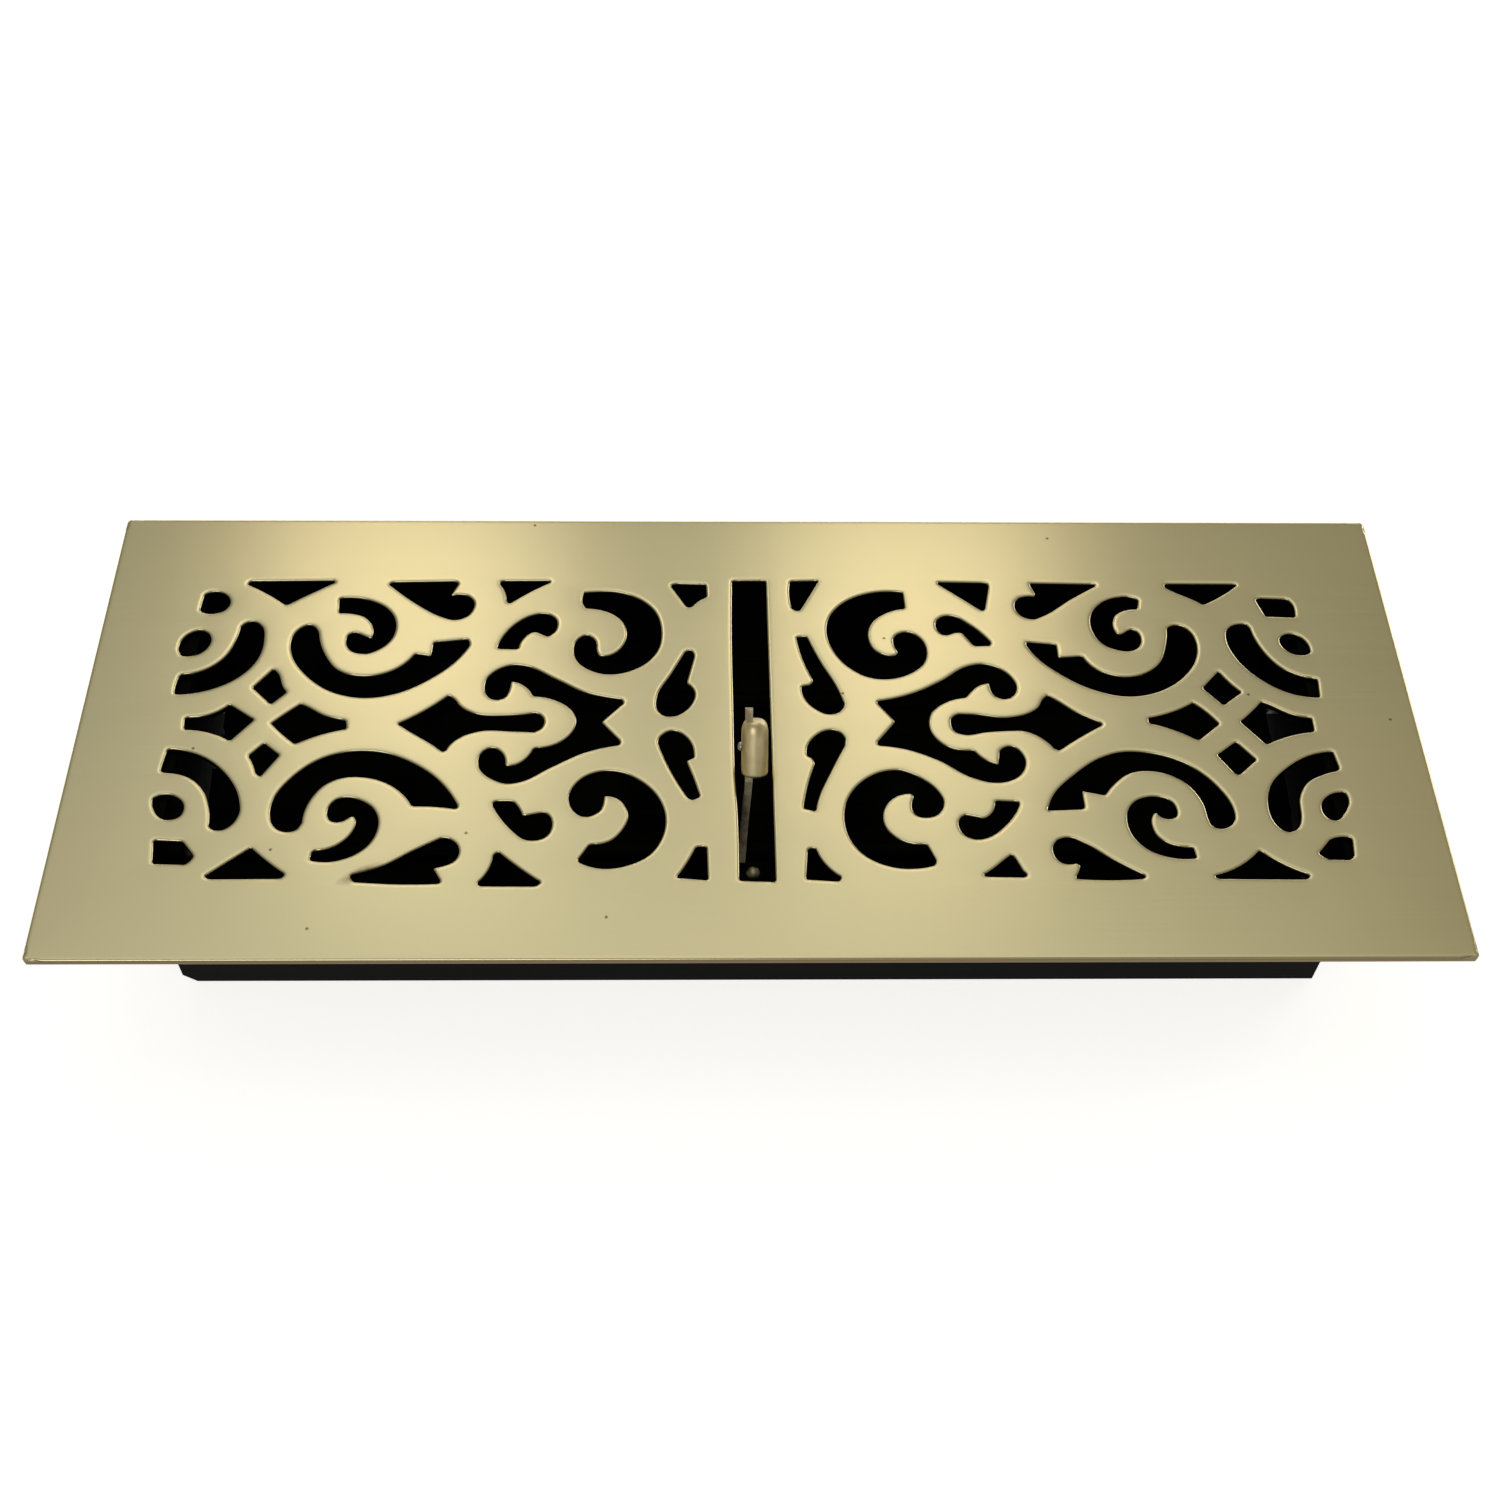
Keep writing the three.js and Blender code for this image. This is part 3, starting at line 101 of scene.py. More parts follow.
# %% Camera
eye = Vector((-10.6, -297.3, 439.8)) * MM
camera_data = bpy.data.cameras.new("camera")
camera_data.lens = 46.26
camera_data.sensor_width = 36.0
camera_data.clip_start, camera_data.clip_end = 0.01, 50.0
camera = bpy.data.objects.new("camera", camera_data)
camera.location = eye
camera.rotation_mode = "YXZ"
camera.rotation_euler = Euler((math.radians(36.18), math.radians(-1.153), 0.0), "YXZ")
bpy.context.scene.collection.objects.link(camera)
bpy.context.scene.camera = camera
bpy.context.scene.view_settings.view_transform = "Standard"
print("camera", [round(v / MM) for v in eye], "mm, lens", camera_data.lens)

# %% [markdown]
# ## A few mesh helpers
# Every piece is made from a list of corner points and a list of faces, which is the most
# direct way to make a mesh. Edges that bend by less than a chosen angle are shaded smooth,
# so a turned barrel looks round while a folded sheet keeps its crease. Most small pieces here
# come off a lathe, so one helper lays rings of points along a line and another joins them.

# %% Mesh helpers
def make_piece(name, points, faces, body, smooth_deg=40):
    mesh = bpy.data.meshes.new(name)
    mesh.from_pydata(points, [], faces)
    mesh.update()
    workbench = bmesh.new()
    workbench.from_mesh(mesh)
    bmesh.ops.recalc_face_normals(workbench, faces=workbench.faces)
    workbench.to_mesh(mesh)
    workbench.free()
    mesh.shade_smooth()
    mesh.set_sharp_from_angle(angle=math.radians(smooth_deg))
    piece = bpy.data.objects.new(name, mesh)
    bpy.context.scene.collection.objects.link(piece)
    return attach(piece, body)


def rings_of(profile, foot, along, sides):
    """Circles of points square to a line, one for each (height, radius) step of a profile."""
    turn = Vector(along).normalized().to_track_quat("Z", "Y").to_matrix()
    angles = [2 * math.pi * k / sides for k in range(sides)]
    return [foot + turn @ Vector((radius * math.cos(a), radius * math.sin(a), height))
            for height, radius in profile for a in angles]


def bands(count, sides, closed):
    """Four-sided faces from each ring of points to the next, and to the first if closed."""
    faces = []
    for ring in range(count if closed else count - 1):
        here, after = ring * sides, (ring + 1) % count * sides
        for k in range(sides):
            m = (k + 1) % sides
            faces.append((here + k, here + m, after + m, after + k))
    return faces


def turned(name, profile, foot, along, body, sides=40, smooth_deg=40):
    """A turned piece: profile is (height, radius) steps, in metres, from foot along a line."""
    faces = bands(len(profile), sides, closed=False)
    faces.append(tuple(range(sides)))
    faces.append(tuple(range((len(profile) - 1) * sides, len(profile) * sides)))
    return make_piece(name, rings_of(profile, foot, along, sides), faces, body, smooth_deg)


def ring_of(name, profile, foot, along, body, sides=40, smooth_deg=40):
    """A turned ring: the profile closes on itself, leaving the bore open."""
    return make_piece(name, rings_of(profile, foot, along, sides),
                      bands(len(profile), sides, closed=True), body, smooth_deg)


def middle(node):
    low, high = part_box(node)
    return (low + high) / 2


print("mesh helpers ready")

# %% [markdown]
# ## Reading the pattern off the plate
# The scrollwork is an outline for each cut-out. The frame's faceplate already holds every one
# of them as the border of its flat top, so the outlines are read from there instead of being
# drawn again. Each border edge belongs to just one top face, and following such edges from
# end to end gives closed loops.

# %% Read the outlines
plate_low, plate_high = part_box("faceplate")


def top_outlines(mesh, height):
    """Closed loops round the flat top: the border, and one for each cut-out."""
    def key(v):
        return (round(v.co.x, 7), round(v.co.y, 7))
    seen = set()
    for face in mesh.polygons:
        corners = [mesh.vertices[i] for i in face.vertices]
        if all(abs(v.co.z - height) < 1e-6 for v in corners):
            ring = [key(v) for v in corners]
            for a, b in zip(ring, ring[1:] + ring[:1]):
                if (b, a) in seen:
                    seen.discard((b, a))
                else:
                    seen.add((a, b))
    onward = dict(seen)
    loops = []
    while onward:
        start, step = onward.popitem()
        loop = [Vector(start)]
        while step != start:
            loop.append(Vector(step))
            step = onward.pop(step)
        loops.append(loop)
    return loops


outlines = top_outlines(nodes["faceplate"].data, plate_high.z)
print(len(outlines), "outlines with", sum(map(len, outlines)), "points")

# %% [markdown]
# ## Smoothing the outlines
# A saw and a file leave flowing curves with crisp corners. A point where the outline turns
# sharply is kept as a corner, and every other point gets a tangent, so the stretch between
# two points becomes a gentle arc. Fresh points are then set about a millimetre apart.

# %% Smooth the outlines
STEP = 1.0 * MM
LONG_STRETCH, LONG_STEP = 50 * MM, 4 * STEP
CORNER_TURN = math.radians(29)
SLIGHT_TURN, UNEVEN = math.radians(10), 3.5    # a corner too, where long meets short


def smoothed(loop):
    """The same loop with fresh points along an arc between each two of its points."""
    count = len(loop)
    ways = [(loop[(i + 1) % count] - loop[i]) for i in range(count)]
    tangents = []
    for i in range(count):
        before, after = ways[i - 1], ways[i]
        turn = before.angle(after)
        uneven = max(before.length, after.length) / min(before.length, after.length)
        if turn > CORNER_TURN or (uneven > UNEVEN and turn > SLIGHT_TURN):
            tangents.append(None)
        else:
            blend = before.normalized() * after.length + after.normalized() * before.length
            tangents.append(blend.normalized())
    fresh = []
    for i in range(count):
        start, way = loop[i], ways[i]
        along = way.normalized()
        leave, arrive = tangents[i], tangents[(i + 1) % count]
        straight = leave is None and arrive is None
        if leave is None:
            leave = along if straight else 2 * along.dot(arrive) * along - arrive
        if arrive is None:
            arrive = along if straight else 2 * along.dot(leave) * along - leave
        step = LONG_STEP if way.length > LONG_STRETCH else STEP
        pieces = max(1, round(way.length / step))
        for k in range(pieces):
            t = k / pieces
            bend = (t - 2 * t * t + t ** 3) * leave + (t ** 3 - t * t) * arrive
            fresh.append(start + (3 * t * t - 2 * t ** 3) * way + bend * way.length)
    return fresh


rims = [smoothed(loop) for loop in outlines]
print("smoothed to", sum(map(len, rims)), "points")

# %% [markdown]
# ## The faceplate's rolled edges
# Buffing a sawn plate rolls its edges over: the top dips gently in the last millimetre
# and turns down in a tight round. That roll catches the light and draws a bright line
# round each cut-out. A bevel could stand in for it, but on outlines this close together it
# would fold over itself, so the roll is a profile, and each point looks up its own drop.

# %% Rolled edges
ROLL_WIDTH, ROLL_DROP, TIGHT = 1.3 * MM, 0.13 * MM, 0.3 * MM
ROWS = [v * MM for v in (0.025, 0.1, 0.3, 0.55, 0.85, 1.3)]
SHARPEST_MITRE = 0.5


def roll(distance):
    """How far the top drops at this distance from an outline."""
    gentle = ROLL_DROP * max(0.0, 1 - distance / ROLL_WIDTH) ** 3
    inside = max(0.0, 1 - distance / TIGHT)
    return gentle + TIGHT * (1 - math.sqrt(1 - inside * inside))


def inward(loop, i):
    """The way into the metal: left of the outline, which always runs with metal on its left."""
    ahead = (loop[(i + 1) % len(loop)] - loop[i]).normalized()
    behind = (loop[i] - loop[i - 1]).normalized()
    along = (ahead + behind).normalized()
    return Vector((-along.y, along.x)) / max(SHARPEST_MITRE, along.dot(ahead))


print("the top drops", round(roll(0) / MM, 2), "mm at an edge")

# %% [markdown]
# ## Rows of points beside the outlines
# The roll needs points where it bends, so rows of them run beside every outline at set
# distances. Where two cut-outs come close, a row that would cross another edge's roll is left
# out. A search tree over closely spaced outline points gives the true distance to any edge.

# %% Rows of points
PER_STEP = 4
dense = [p.lerp(loop[(i + 1) % len(loop)], t / PER_STEP)
         for loop in rims for i, p in enumerate(loop) for t in range(PER_STEP)]
near_edge = KDTree(len(dense))
for i, p in enumerate(dense):
    near_edge.insert((p.x, p.y, 0), i)
near_edge.balance()

flat_points, drops, edges = [], [], []
for loop in rims:
    first = len(flat_points)
    flat_points += loop
    drops += [0.0] * len(loop)
    edges += [(first + i, first + (i + 1) % len(loop)) for i in range(len(loop))]
rim_count = len(flat_points)

CROWDED, SLACK = 0.82, 0.01 * MM
INNER_ROWS = 0.5 * MM    # within this, a row's own distance is exact enough
for row in ROWS:
    for loop in rims:
        for i, p in enumerate(loop):
            q = p + inward(loop, i) * row
            true = near_edge.find((q.x, q.y, 0))[2]
            if true > CROWDED * row - SLACK:
                flat_points.append(q)
                drops.append(min(row, max(true, 0.5 * row)) if row > INNER_ROWS else row)
print(rim_count, "points on the outlines,", len(flat_points) - rim_count, "beside them")

# %% [markdown]
# ## Filling the metal with triangles
# The points could be joined by filling each loop and cutting holes, but a triangulation that
# is told which edges it may not cross does both at once. It also fills the cut-outs, so the
# triangles that lie inside one are dropped again.

# %% Triangles over the metal
loop_of = [n for n, loop in enumerate(rims) for _ in loop]
walls = [(tuple(flat_points[a]), tuple(flat_points[b])) for a, b in edges]


def in_metal(spot):
    """Crossing outlines an odd number of times on the way out means the spot is in metal."""
    crossings = 0
    x, y = spot
    for (ax, ay), (bx, by) in walls:
        if (ay > y) != (by > y) and x < ax + (y - ay) / (by - ay) * (bx - ax):
            crossings += 1
    return crossings % 2 == 1


def triangulated(spots):
    """Triangles over the metal only; those that fill a cut-out touch its outline three times."""
    xy, _, triangles, origins, _, _ = delaunay_2d_cdt(spots, edges, [], 1, 1e-8, True)
    known = [o[0] if o else None for o in origins]
    kept = []
    for face in triangles:
        on_rim = [known[v] is not None and known[v] < rim_count for v in face]
        if all(on_rim) and len({loop_of[known[v]] for v in face}) == 1:
            if not in_metal(sum((xy[v] for v in face), Vector((0, 0))) / 3):
                continue
        kept.append(tuple(face))
    return xy, kept, known


top_xy, top_faces, known_top = triangulated(flat_points)
base_xy, base_faces, known_base = triangulated(flat_points[:rim_count])
print("top", len(top_xy), "points", len(top_faces), "faces")

# %% [markdown]
# ## Closing the plate
# The rolled top and the flat underside are joined by a wall along every outline. Two values
# are stored on each point for the finish: how far it is from an edge, and which kind of side
# it is on, since a sawn side, a border side and the polished top look different. The UV map
# only gives the direction of brushing.

# %% Faceplate
CUT_OUT_SIDE, BORDER_SIDE, BORDER_LIP, LIP_WIDTH = 1.0, -1.0, -0.2, 0.06 * MM
UV_PER_METRE = 2.5
points, edge_distance, sawn, top_of, base_of = [], [], [], {}, {}
outer = max(range(len(rims)), key=lambda n: max(p.x for p in rims[n]))
for i, (xy, known) in enumerate(zip(top_xy, known_top)):
    far = drops[known] if known is not None else near_edge.find((xy.x, xy.y, 0))[2]
    top_of[known] = i
    points.append((xy.x, xy.y, plate_high.z - roll(far)))
    edge_distance.append(far)
    border = max(abs(xy.x) - plate_high.x, abs(xy.y) - plate_high.y)
    sawn.append(BORDER_LIP if border > -LIP_WIDTH else 0.0)
base_start = len(points)
for i, (xy, known) in enumerate(zip(base_xy, known_base)):
    base_of[known] = base_start + i
    points.append((xy.x, xy.y, plate_low.z))
    edge_distance.append(0.0)
    on_border = known is not None and loop_of[known] == outer
    sawn.append(BORDER_SIDE if on_border else CUT_OUT_SIDE)
faces = top_faces + [tuple(base_start + v for v in reversed(f)) for f in base_faces]
faces += [(top_of[b], top_of[a], base_of[a], base_of[b]) for a, b in edges]

faceplate = make_piece("brass_faceplate", points, faces, "frame", smooth_deg=62)
for label, values in (("edge_distance", edge_distance), ("sawn_side", sawn)):
    attribute = faceplate.data.attributes.new(label, "FLOAT", "POINT")
    attribute.data.foreach_set("value", values)
brush = faceplate.data.uv_layers.new(name="brushing")
for spot in faceplate.data.loops:
    co = faceplate.data.vertices[spot.vertex_index].co
    brush.data[spot.index].uv = (co.y * UV_PER_METRE + 0.5, 0.5 - co.x * UV_PER_METRE)
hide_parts("faceplate")
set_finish(faceplate, "brass_plate")
print("faceplate", len(faceplate.data.polygons), "faces")

# %% [markdown]
# ## The knob
# The knob is turned from bar: a plain barrel with a rounded crown, slipped over the lever's
# tang, which leans to the far side. A cylinder with a bevel would give both ends the same
# round, so a profile with its own curve at each end is turned instead, with many sides to
# keep the outline round up close.

# %% Knob
KNOB_LEAN = math.radians(36)
lean = Vector((0, math.sin(KNOB_LEAN), math.cos(KNOB_LEAN)))
knob_low, knob_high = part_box("knob")
KNOB_RADIUS = (knob_high.x - knob_low.x) / 2
KNOB_LENGTH = 14.4 * MM


def quarter_round(height, radius, rise, inset, steps):
    """A quarter round from the barrel's side to its end, as (height, radius) steps."""
    return [(height - rise * (1 - math.sin(a)), radius - inset * (1 - math.cos(a)))
            for a in (math.pi / 2 * k / steps for k in range(steps + 1))]


half_length = KNOB_LENGTH / 2
FOOT_ROUND = 0.9 * MM
CROWN, CROWN_HEIGHT = 1.4 * MM, 3.2 * MM
foot_round = quarter_round(-half_length, KNOB_RADIUS, -FOOT_ROUND, FOOT_ROUND, 6)
waist = [(h * half_length, KNOB_RADIUS) for h in (-0.5, 0, 0.3)]
crown = quarter_round(half_length, KNOB_RADIUS, CROWN_HEIGHT, CROWN, 9)
knob_profile = foot_round[::-1] + waist + crown
knob = turned("brass_knob", knob_profile, middle("knob"), lean, "louvre_near", sides=56)
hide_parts("knob")
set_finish(knob, "brass_knob")
print("knob", round(KNOB_LENGTH / MM, 1), "mm long")

# %% [markdown]
# ## The knob screw and the lever rivets
# A small pan-head screw pins the knob to the tang, and two domed rivets hold the lever's foot.
# Half a sphere would be too tall for either, so each head is a flattened dome, made by stepping
# a quarter circle, with a short shank below it. The top ends in a tiny flat instead of a point,
# which shades more evenly.

# %% Screw and rivets
TINY_FLAT = 0.02


def dome(shank, reach, radius, rise, edge=0.25, steps=7):
    """A shank and a domed head on its far end; the head starts at reach."""
    rim = [(reach, shank), (reach, radius), (reach + edge * rise, radius)]
    crown = [(reach + rise * (edge + (1 - edge) * math.sin(a)), radius * math.cos(a))
             for a in (math.pi / 2 * k / steps for k in range(1, steps))]
    return [(0.0, shank)] + rim + crown + [(reach + rise, TINY_FLAT * radius)]


screw_foot = Vector((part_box("knob_screw")[1].x, *middle("knob_screw").yz))
screw = turned("knob_screw_head", dome(0.5 * MM, 0.75 * MM, 1.1 * MM, 0.95 * MM), screw_foot,
               (-1, 0, 0), "louvre_near", sides=28)
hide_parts("knob_screw")
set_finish(screw, "zinc_hardware")

BLADE_TILT = math.radians(9)
RIVET_HALF = 1.9 * MM
blade_up = Vector((0, -math.sin(BLADE_TILT), math.cos(BLADE_TILT)))
rivet_tail = [(0, 1.1 * MM), (0.4 * MM, 1.6 * MM)]
rivet_head = dome(1.6 * MM, 2.4 * MM, 1.85 * MM, 1.3 * MM)[1:]
for name in ("lever_rivet_1", "lever_rivet_2"):
    rivet = turned(name + "_head", rivet_tail + rivet_head,
                   middle(name) - blade_up * RIVET_HALF, blade_up, "louvre_near", sides=32)
    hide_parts(name)
    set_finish(rivet, "nickel_plate")
print("screw and two rivets")

# %% [markdown]
# ## Box rivets
# Tabs on the box's long walls fold round its four corners, and two rivets hold each tab. The
# heads are on the outside. The upset tail and the domed head are one profile, so each rivet is
# turned in one piece, as the screw was.

# %% Box rivets
tail = [(0, 0.9 * MM), (0.3 * MM, 1.6 * MM), (0.8 * MM, 1.8 * MM), (0.8 * MM, 1.2 * MM)]
head = dome(1.2 * MM, 2.4 * MM, 2.1 * MM, 1.13 * MM)[1:]
for end in ("left", "right"):
    outward = Vector((-1 if end == "left" else 1, 0, 0))
    for side in ("near", "far"):
        for level in ("low", "high"):
            name = f"corner_rivet_{end}_{side}_{level}"
            low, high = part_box(name)
            inner = high.x if end == "left" else low.x
            foot = Vector((inner, *middle(name).yz))
            rivet = turned(name + "_domed", tail + head, foot, outward, "frame", sides=32)
            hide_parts(name)
            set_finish(rivet, "blackened_rivets")
print("eight box rivets")

# %% [markdown]
# ## Studs
# Four threaded studs are brazed under the plate and clamp the box's end flanges. A thread is
# a helix, but at this size plain grooves a pitch apart look the same and mesh more simply.

# %% Threaded studs
PITCH = 0.6 * MM
PLAIN_FOOT, PLAIN_ENDS = 0.4 * MM, 0.8 * MM
GROOVE_AT, GROOVE_DEPTH = 0.45, 0.84    # shares of the pitch and of the radius


def threaded_stud(name):
    low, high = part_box(name)
    length = high.z - low.z
    radius = (high.x - low.x) / 2
    steps = [(0, radius), (0.2 * MM, radius)]
    for k in range(int((length - PLAIN_ENDS) / PITCH)):
        start = PLAIN_FOOT + k * PITCH
        steps += [(start, radius), (start + PITCH * GROOVE_AT, radius * GROOVE_DEPTH)]
    steps += [(length - 0.3 * MM, radius * 0.9), (length, radius * 0.7)]
    root = Vector((*middle(name).xy, high.z))
    stud = turned(name + "_threaded", steps, root, (0, 0, -1), "frame", sides=24, smooth_deg=25)
    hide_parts(name)
    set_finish(stud, "brass_plate")
    return length


# %% [markdown]
# ## Nuts
# A hexagon nut has its corners chamfered to a circle at both ends and a countersunk bore. A
# hexagon with a bevel would cut its corners straight, so the nut is built of rings instead:
# round at the ends, and hexagonal where the spanner grips.

# %% Chamfered nuts
CORNER = 2 / math.sqrt(3)
NUT_SIDES = 36
BORE, COUNTERSINK, CHAMFER = 1.7 * MM, 1.95 * MM, 0.97


def chamfered_nut(name):
    low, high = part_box(name)
    across, deep, centre = (high.x - low.x) / 2, high.z - low.z, middle(name)
    rows = [(0.0, COUNTERSINK, False), (0.0, across * CHAMFER, False),
            (0.35 * MM, across, True), (deep - 0.35 * MM, across, True),
            (deep, across * CHAMFER, False), (deep, COUNTERSINK, False),
            (deep - 0.3 * MM, BORE, False), (0.3 * MM, BORE, False)]
    points = []
    for height, size, hexed in rows:
        for k in range(NUT_SIDES):
            a = 2 * math.pi * k / NUT_SIDES
            off_flat = (a + math.pi / 6) % (math.pi / 3) - math.pi / 6
            reach = min(size / math.cos(off_flat), size * CORNER) if hexed else size
            points.append((centre.x + reach * math.cos(a), centre.y + reach * math.sin(a),
                           low.z + height))
    nut = make_piece(name + "_chamfered", points, bands(len(rows), NUT_SIDES, closed=True),
                     "frame", smooth_deg=20)
    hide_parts(name)
    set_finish(nut, "zinc_hardware")


for end in ("left", "right"):
    for side in ("near", "far"):
        stud_length = threaded_stud(f"stud_{end}_{side}")
        chamfered_nut(f"nut_{end}_{side}")
print("four studs of", round(stud_length / MM, 1), "mm, and four nuts")

# %% [markdown]
# ## Pivot rods, caps, collars and link pins
# Each louvre turns on a rod that pokes through the box's ends under a push-on cap, with a
# collar inside to keep the blade off the wall. All of them are turned shapes along one line,
# the hinge's own, so they are placed from the hinge and stay true to it as the louvre swings.

# %% Rods and their fittings
hinge = {j["name"]: Vector(j["pos_m"]) for j in frame["joints"]}
for side in ("near", "far"):
    body = f"louvre_{side}"
    axis = hinge[f"{side}_louvre_hinge"]
    low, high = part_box(f"pivot_rod_{side}")
    length, radius = high.x - low.x, (high.z - low.z) / 2
    steps = [(0, radius * 0.55), (0.2 * MM, radius * 0.85), (0.6 * MM, radius),
             (length / 2, radius), (length - 0.6 * MM, radius),
             (length - 0.2 * MM, radius * 0.85), (length, radius * 0.55)]
    rod = turned(f"pivot_rod_{side}_ground", steps, Vector((low.x, axis.y, axis.z)),
                 (1, 0, 0), body, sides=32)
    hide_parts(f"pivot_rod_{side}")
    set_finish(rod, "zinc_hardware")
    for end, way in (("left", -1), ("right", 1)):
        name = f"rod_cap_{side}_{end}"
        low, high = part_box(name)
        root = Vector((low.x if way > 0 else high.x, axis.y, axis.z))
        bore, brim, tall = radius + 0.15 * MM, (high.z - low.z) / 2, high.x - low.x
        steps = [(0, bore), (0, brim), (0.28 * MM, brim), (0.45 * MM, brim * 0.96),
                 (tall * 0.45, brim * 0.75), (tall * 0.8, brim * 0.64), (tall, brim * 0.54),
                 (tall, bore)]
        cap = ring_of(name + "_pressed", steps, root, (way, 0, 0), body, sides=36,
                      smooth_deg=35)
        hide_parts(name)
        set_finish(cap, "zinc_hardware")

        name = f"spacer_{side}_{end}"
        low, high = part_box(name)
        tall, rim = high.x - low.x, (high.z - low.z) / 2
        bore, soft = 2.0 * MM, 0.3 * MM
        steps = [(0, bore), (0, rim - soft), (soft, rim), (tall - soft, rim),
                 (tall, rim - soft), (tall, bore)]
        collar = ring_of(name + "_turned", steps, Vector((low.x, axis.y, axis.z)), (1, 0, 0),
                         body, sides=36, smooth_deg=50)
        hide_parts(name)
        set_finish(collar, "zinc_hardware")

    name = f"link_pin_{side}"
    low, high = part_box(name)
    tall = high.x - low.x
    steps = [(0, 1.4 * MM), (0.25 * MM, 1.95 * MM), (0.58 * MM, 2.1 * MM),
             (0.6 * MM, 1.2 * MM), (tall - 0.84 * MM, 1.2 * MM), (tall - 0.8 * MM, 2.0 * MM),
             (tall - 0.4 * MM, 1.8 * MM), (tall, 0.6 * MM)]
    pin = turned(name + "_headed", steps, Vector((low.x, *middle(name).yz)), (1, 0, 0), body,
                 sides=28)
    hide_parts(name)
    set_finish(pin, "nickel_plate")
print("rods, caps, collars and pins")

# %% [markdown]
# ## Softening the sheet metal
# The walls, louvres, lever and link bar already have their true shapes. Folded and sheared
# sheet never has a knife edge, so a small bevel is added to each sharp edge, which gives
# the paint a line of light along the folds. Modelling each bevel by hand would give nothing
# more. Weighted normals keep the wide faces flat.

# %% Sheet-metal edges
sheet_edges = {"near_wall": 0.22, "far_wall": 0.22, "left_end_wall": 0.22,
               "right_end_wall": 0.22, "louvre_near": 0.16, "louvre_far": 0.16,
               "lever": 0.3, "link_bar": 0.18}
for name, width in sheet_edges.items():
    piece = nodes[name]
    piece.data.shade_smooth()
    weld = piece.modifiers.new("weld", "WELD")
    weld.merge_threshold = 0.001 * MM
    edge = piece.modifiers.new("soft edges", "BEVEL")
    edge.width = width * MM
    edge.segments = 2
    edge.limit_method = "ANGLE"
    edge.angle_limit = math.radians(35)
    edge.harden_normals = True
    edge.use_clamp_overlap = True
    even = piece.modifiers.new("flat faces stay flat", "WEIGHTED_NORMAL")
    even.weight = 90
print(len(sheet_edges), "sheet pieces softened")

# %% [markdown]
# ## How the finishes are built
# Each finish starts from the object's own coordinates, in metres, so a scratch keeps its real
# size on every piece. Noise stretched along one direction gives brushing and rolling marks,
# broad noise gives patches of tarnish, and both also nudge the roughness and the bump. A
# painted picture could do the same, but noise never blurs up close. The class below keeps
# each finish to a few lines: a method adds a node and returns what it gives out.

# %% Finish helpers
class Finish:
    def __init__(self, name, metallic, roughness):
        self.material = bpy.data.materials.new(name)
        self.material.use_nodes = True
        self.tree = self.material.node_tree
        self.shader = self.tree.nodes["Principled BSDF"]
        self.shader.inputs["Metallic"].default_value = metallic
        self.shader.inputs["Roughness"].default_value = roughness
        self.place = self.add("ShaderNodeTexCoord").outputs["Object"]

    def add(self, kind, **inputs):
        node = self.tree.nodes.new(kind)
        for name, value in inputs.items():
            self.feed(node.inputs[name.replace("_", " ")], value)
        return node

    def feed(self, socket, value):
        if isinstance(value, bpy.types.NodeSocket):
            self.tree.links.new(value, socket)
        else:
            socket.default_value = value

    def noise(self, per_metre, detail=3.0, rough=0.55):
        """Noise with its own number of features per metre along X, Y and Z."""
        stretched = self.add("ShaderNodeMapping", Vector=self.place, Scale=per_metre)
        made = self.add("ShaderNodeTexNoise", Vector=stretched.outputs["Vector"], Scale=1.0,
                        Detail=detail, Roughness=rough)
        return made.outputs["Fac"]

    def span(self, value, low, high, to_low=0.0, to_high=1.0):
        made = self.add("ShaderNodeMapRange", Value=value)
        for name, number in (("From Min", low), ("From Max", high), ("To Min", to_low),
                             ("To Max", to_high)):
            made.inputs[name].default_value = number
        return made.outputs["Result"]

    def maths(self, operation, a, b=0.0):
        node = self.add("ShaderNodeMath")
        node.operation = operation
        self.feed(node.inputs[0], a)
        self.feed(node.inputs[1], b)
        return node.outputs[0]

    def times(self, a, b):
        return self.maths("MULTIPLY", a, b)

    def plus(self, a, b):
        return self.maths("ADD", a, b)

    def blend(self, share, first, second):
        node = self.add("ShaderNodeMix")
        node.data_type = "RGBA"
        self.feed(node.inputs["Factor"], share)
        self.feed(node.inputs["A"], first)
        self.feed(node.inputs["B"], second)
        return node.outputs["Result"]

    def bump(self, height, depth_mm, strength=1.0, over=None):
        node = self.add("ShaderNodeBump", Height=height, Strength=strength,
                        Distance=depth_mm * MM)
        if over is not None:
            self.feed(node.inputs["Normal"], over)
        return node.outputs["Normal"]

    def coat(self, color=None, roughness=None, normal=None):
        for name, value in (("Base Color", color), ("Roughness", roughness),
                            ("Normal", normal)):
            if value is not None:
                self.feed(self.shader.inputs[name], value)
        return self.material


print("finish helpers ready")

# %% [markdown]
# ## Brushed brass
# The plate is brushed along its length with a fine belt. Brushing stretches every highlight
# across the scratches. Modelled scratches would be far too many, so the shader is anisotropic
# and also carries faint long streaks. The rolled edges were buffed afterwards: they are
# smoother, brighter and a little warmer. Pale green-grey patches are age and handling.

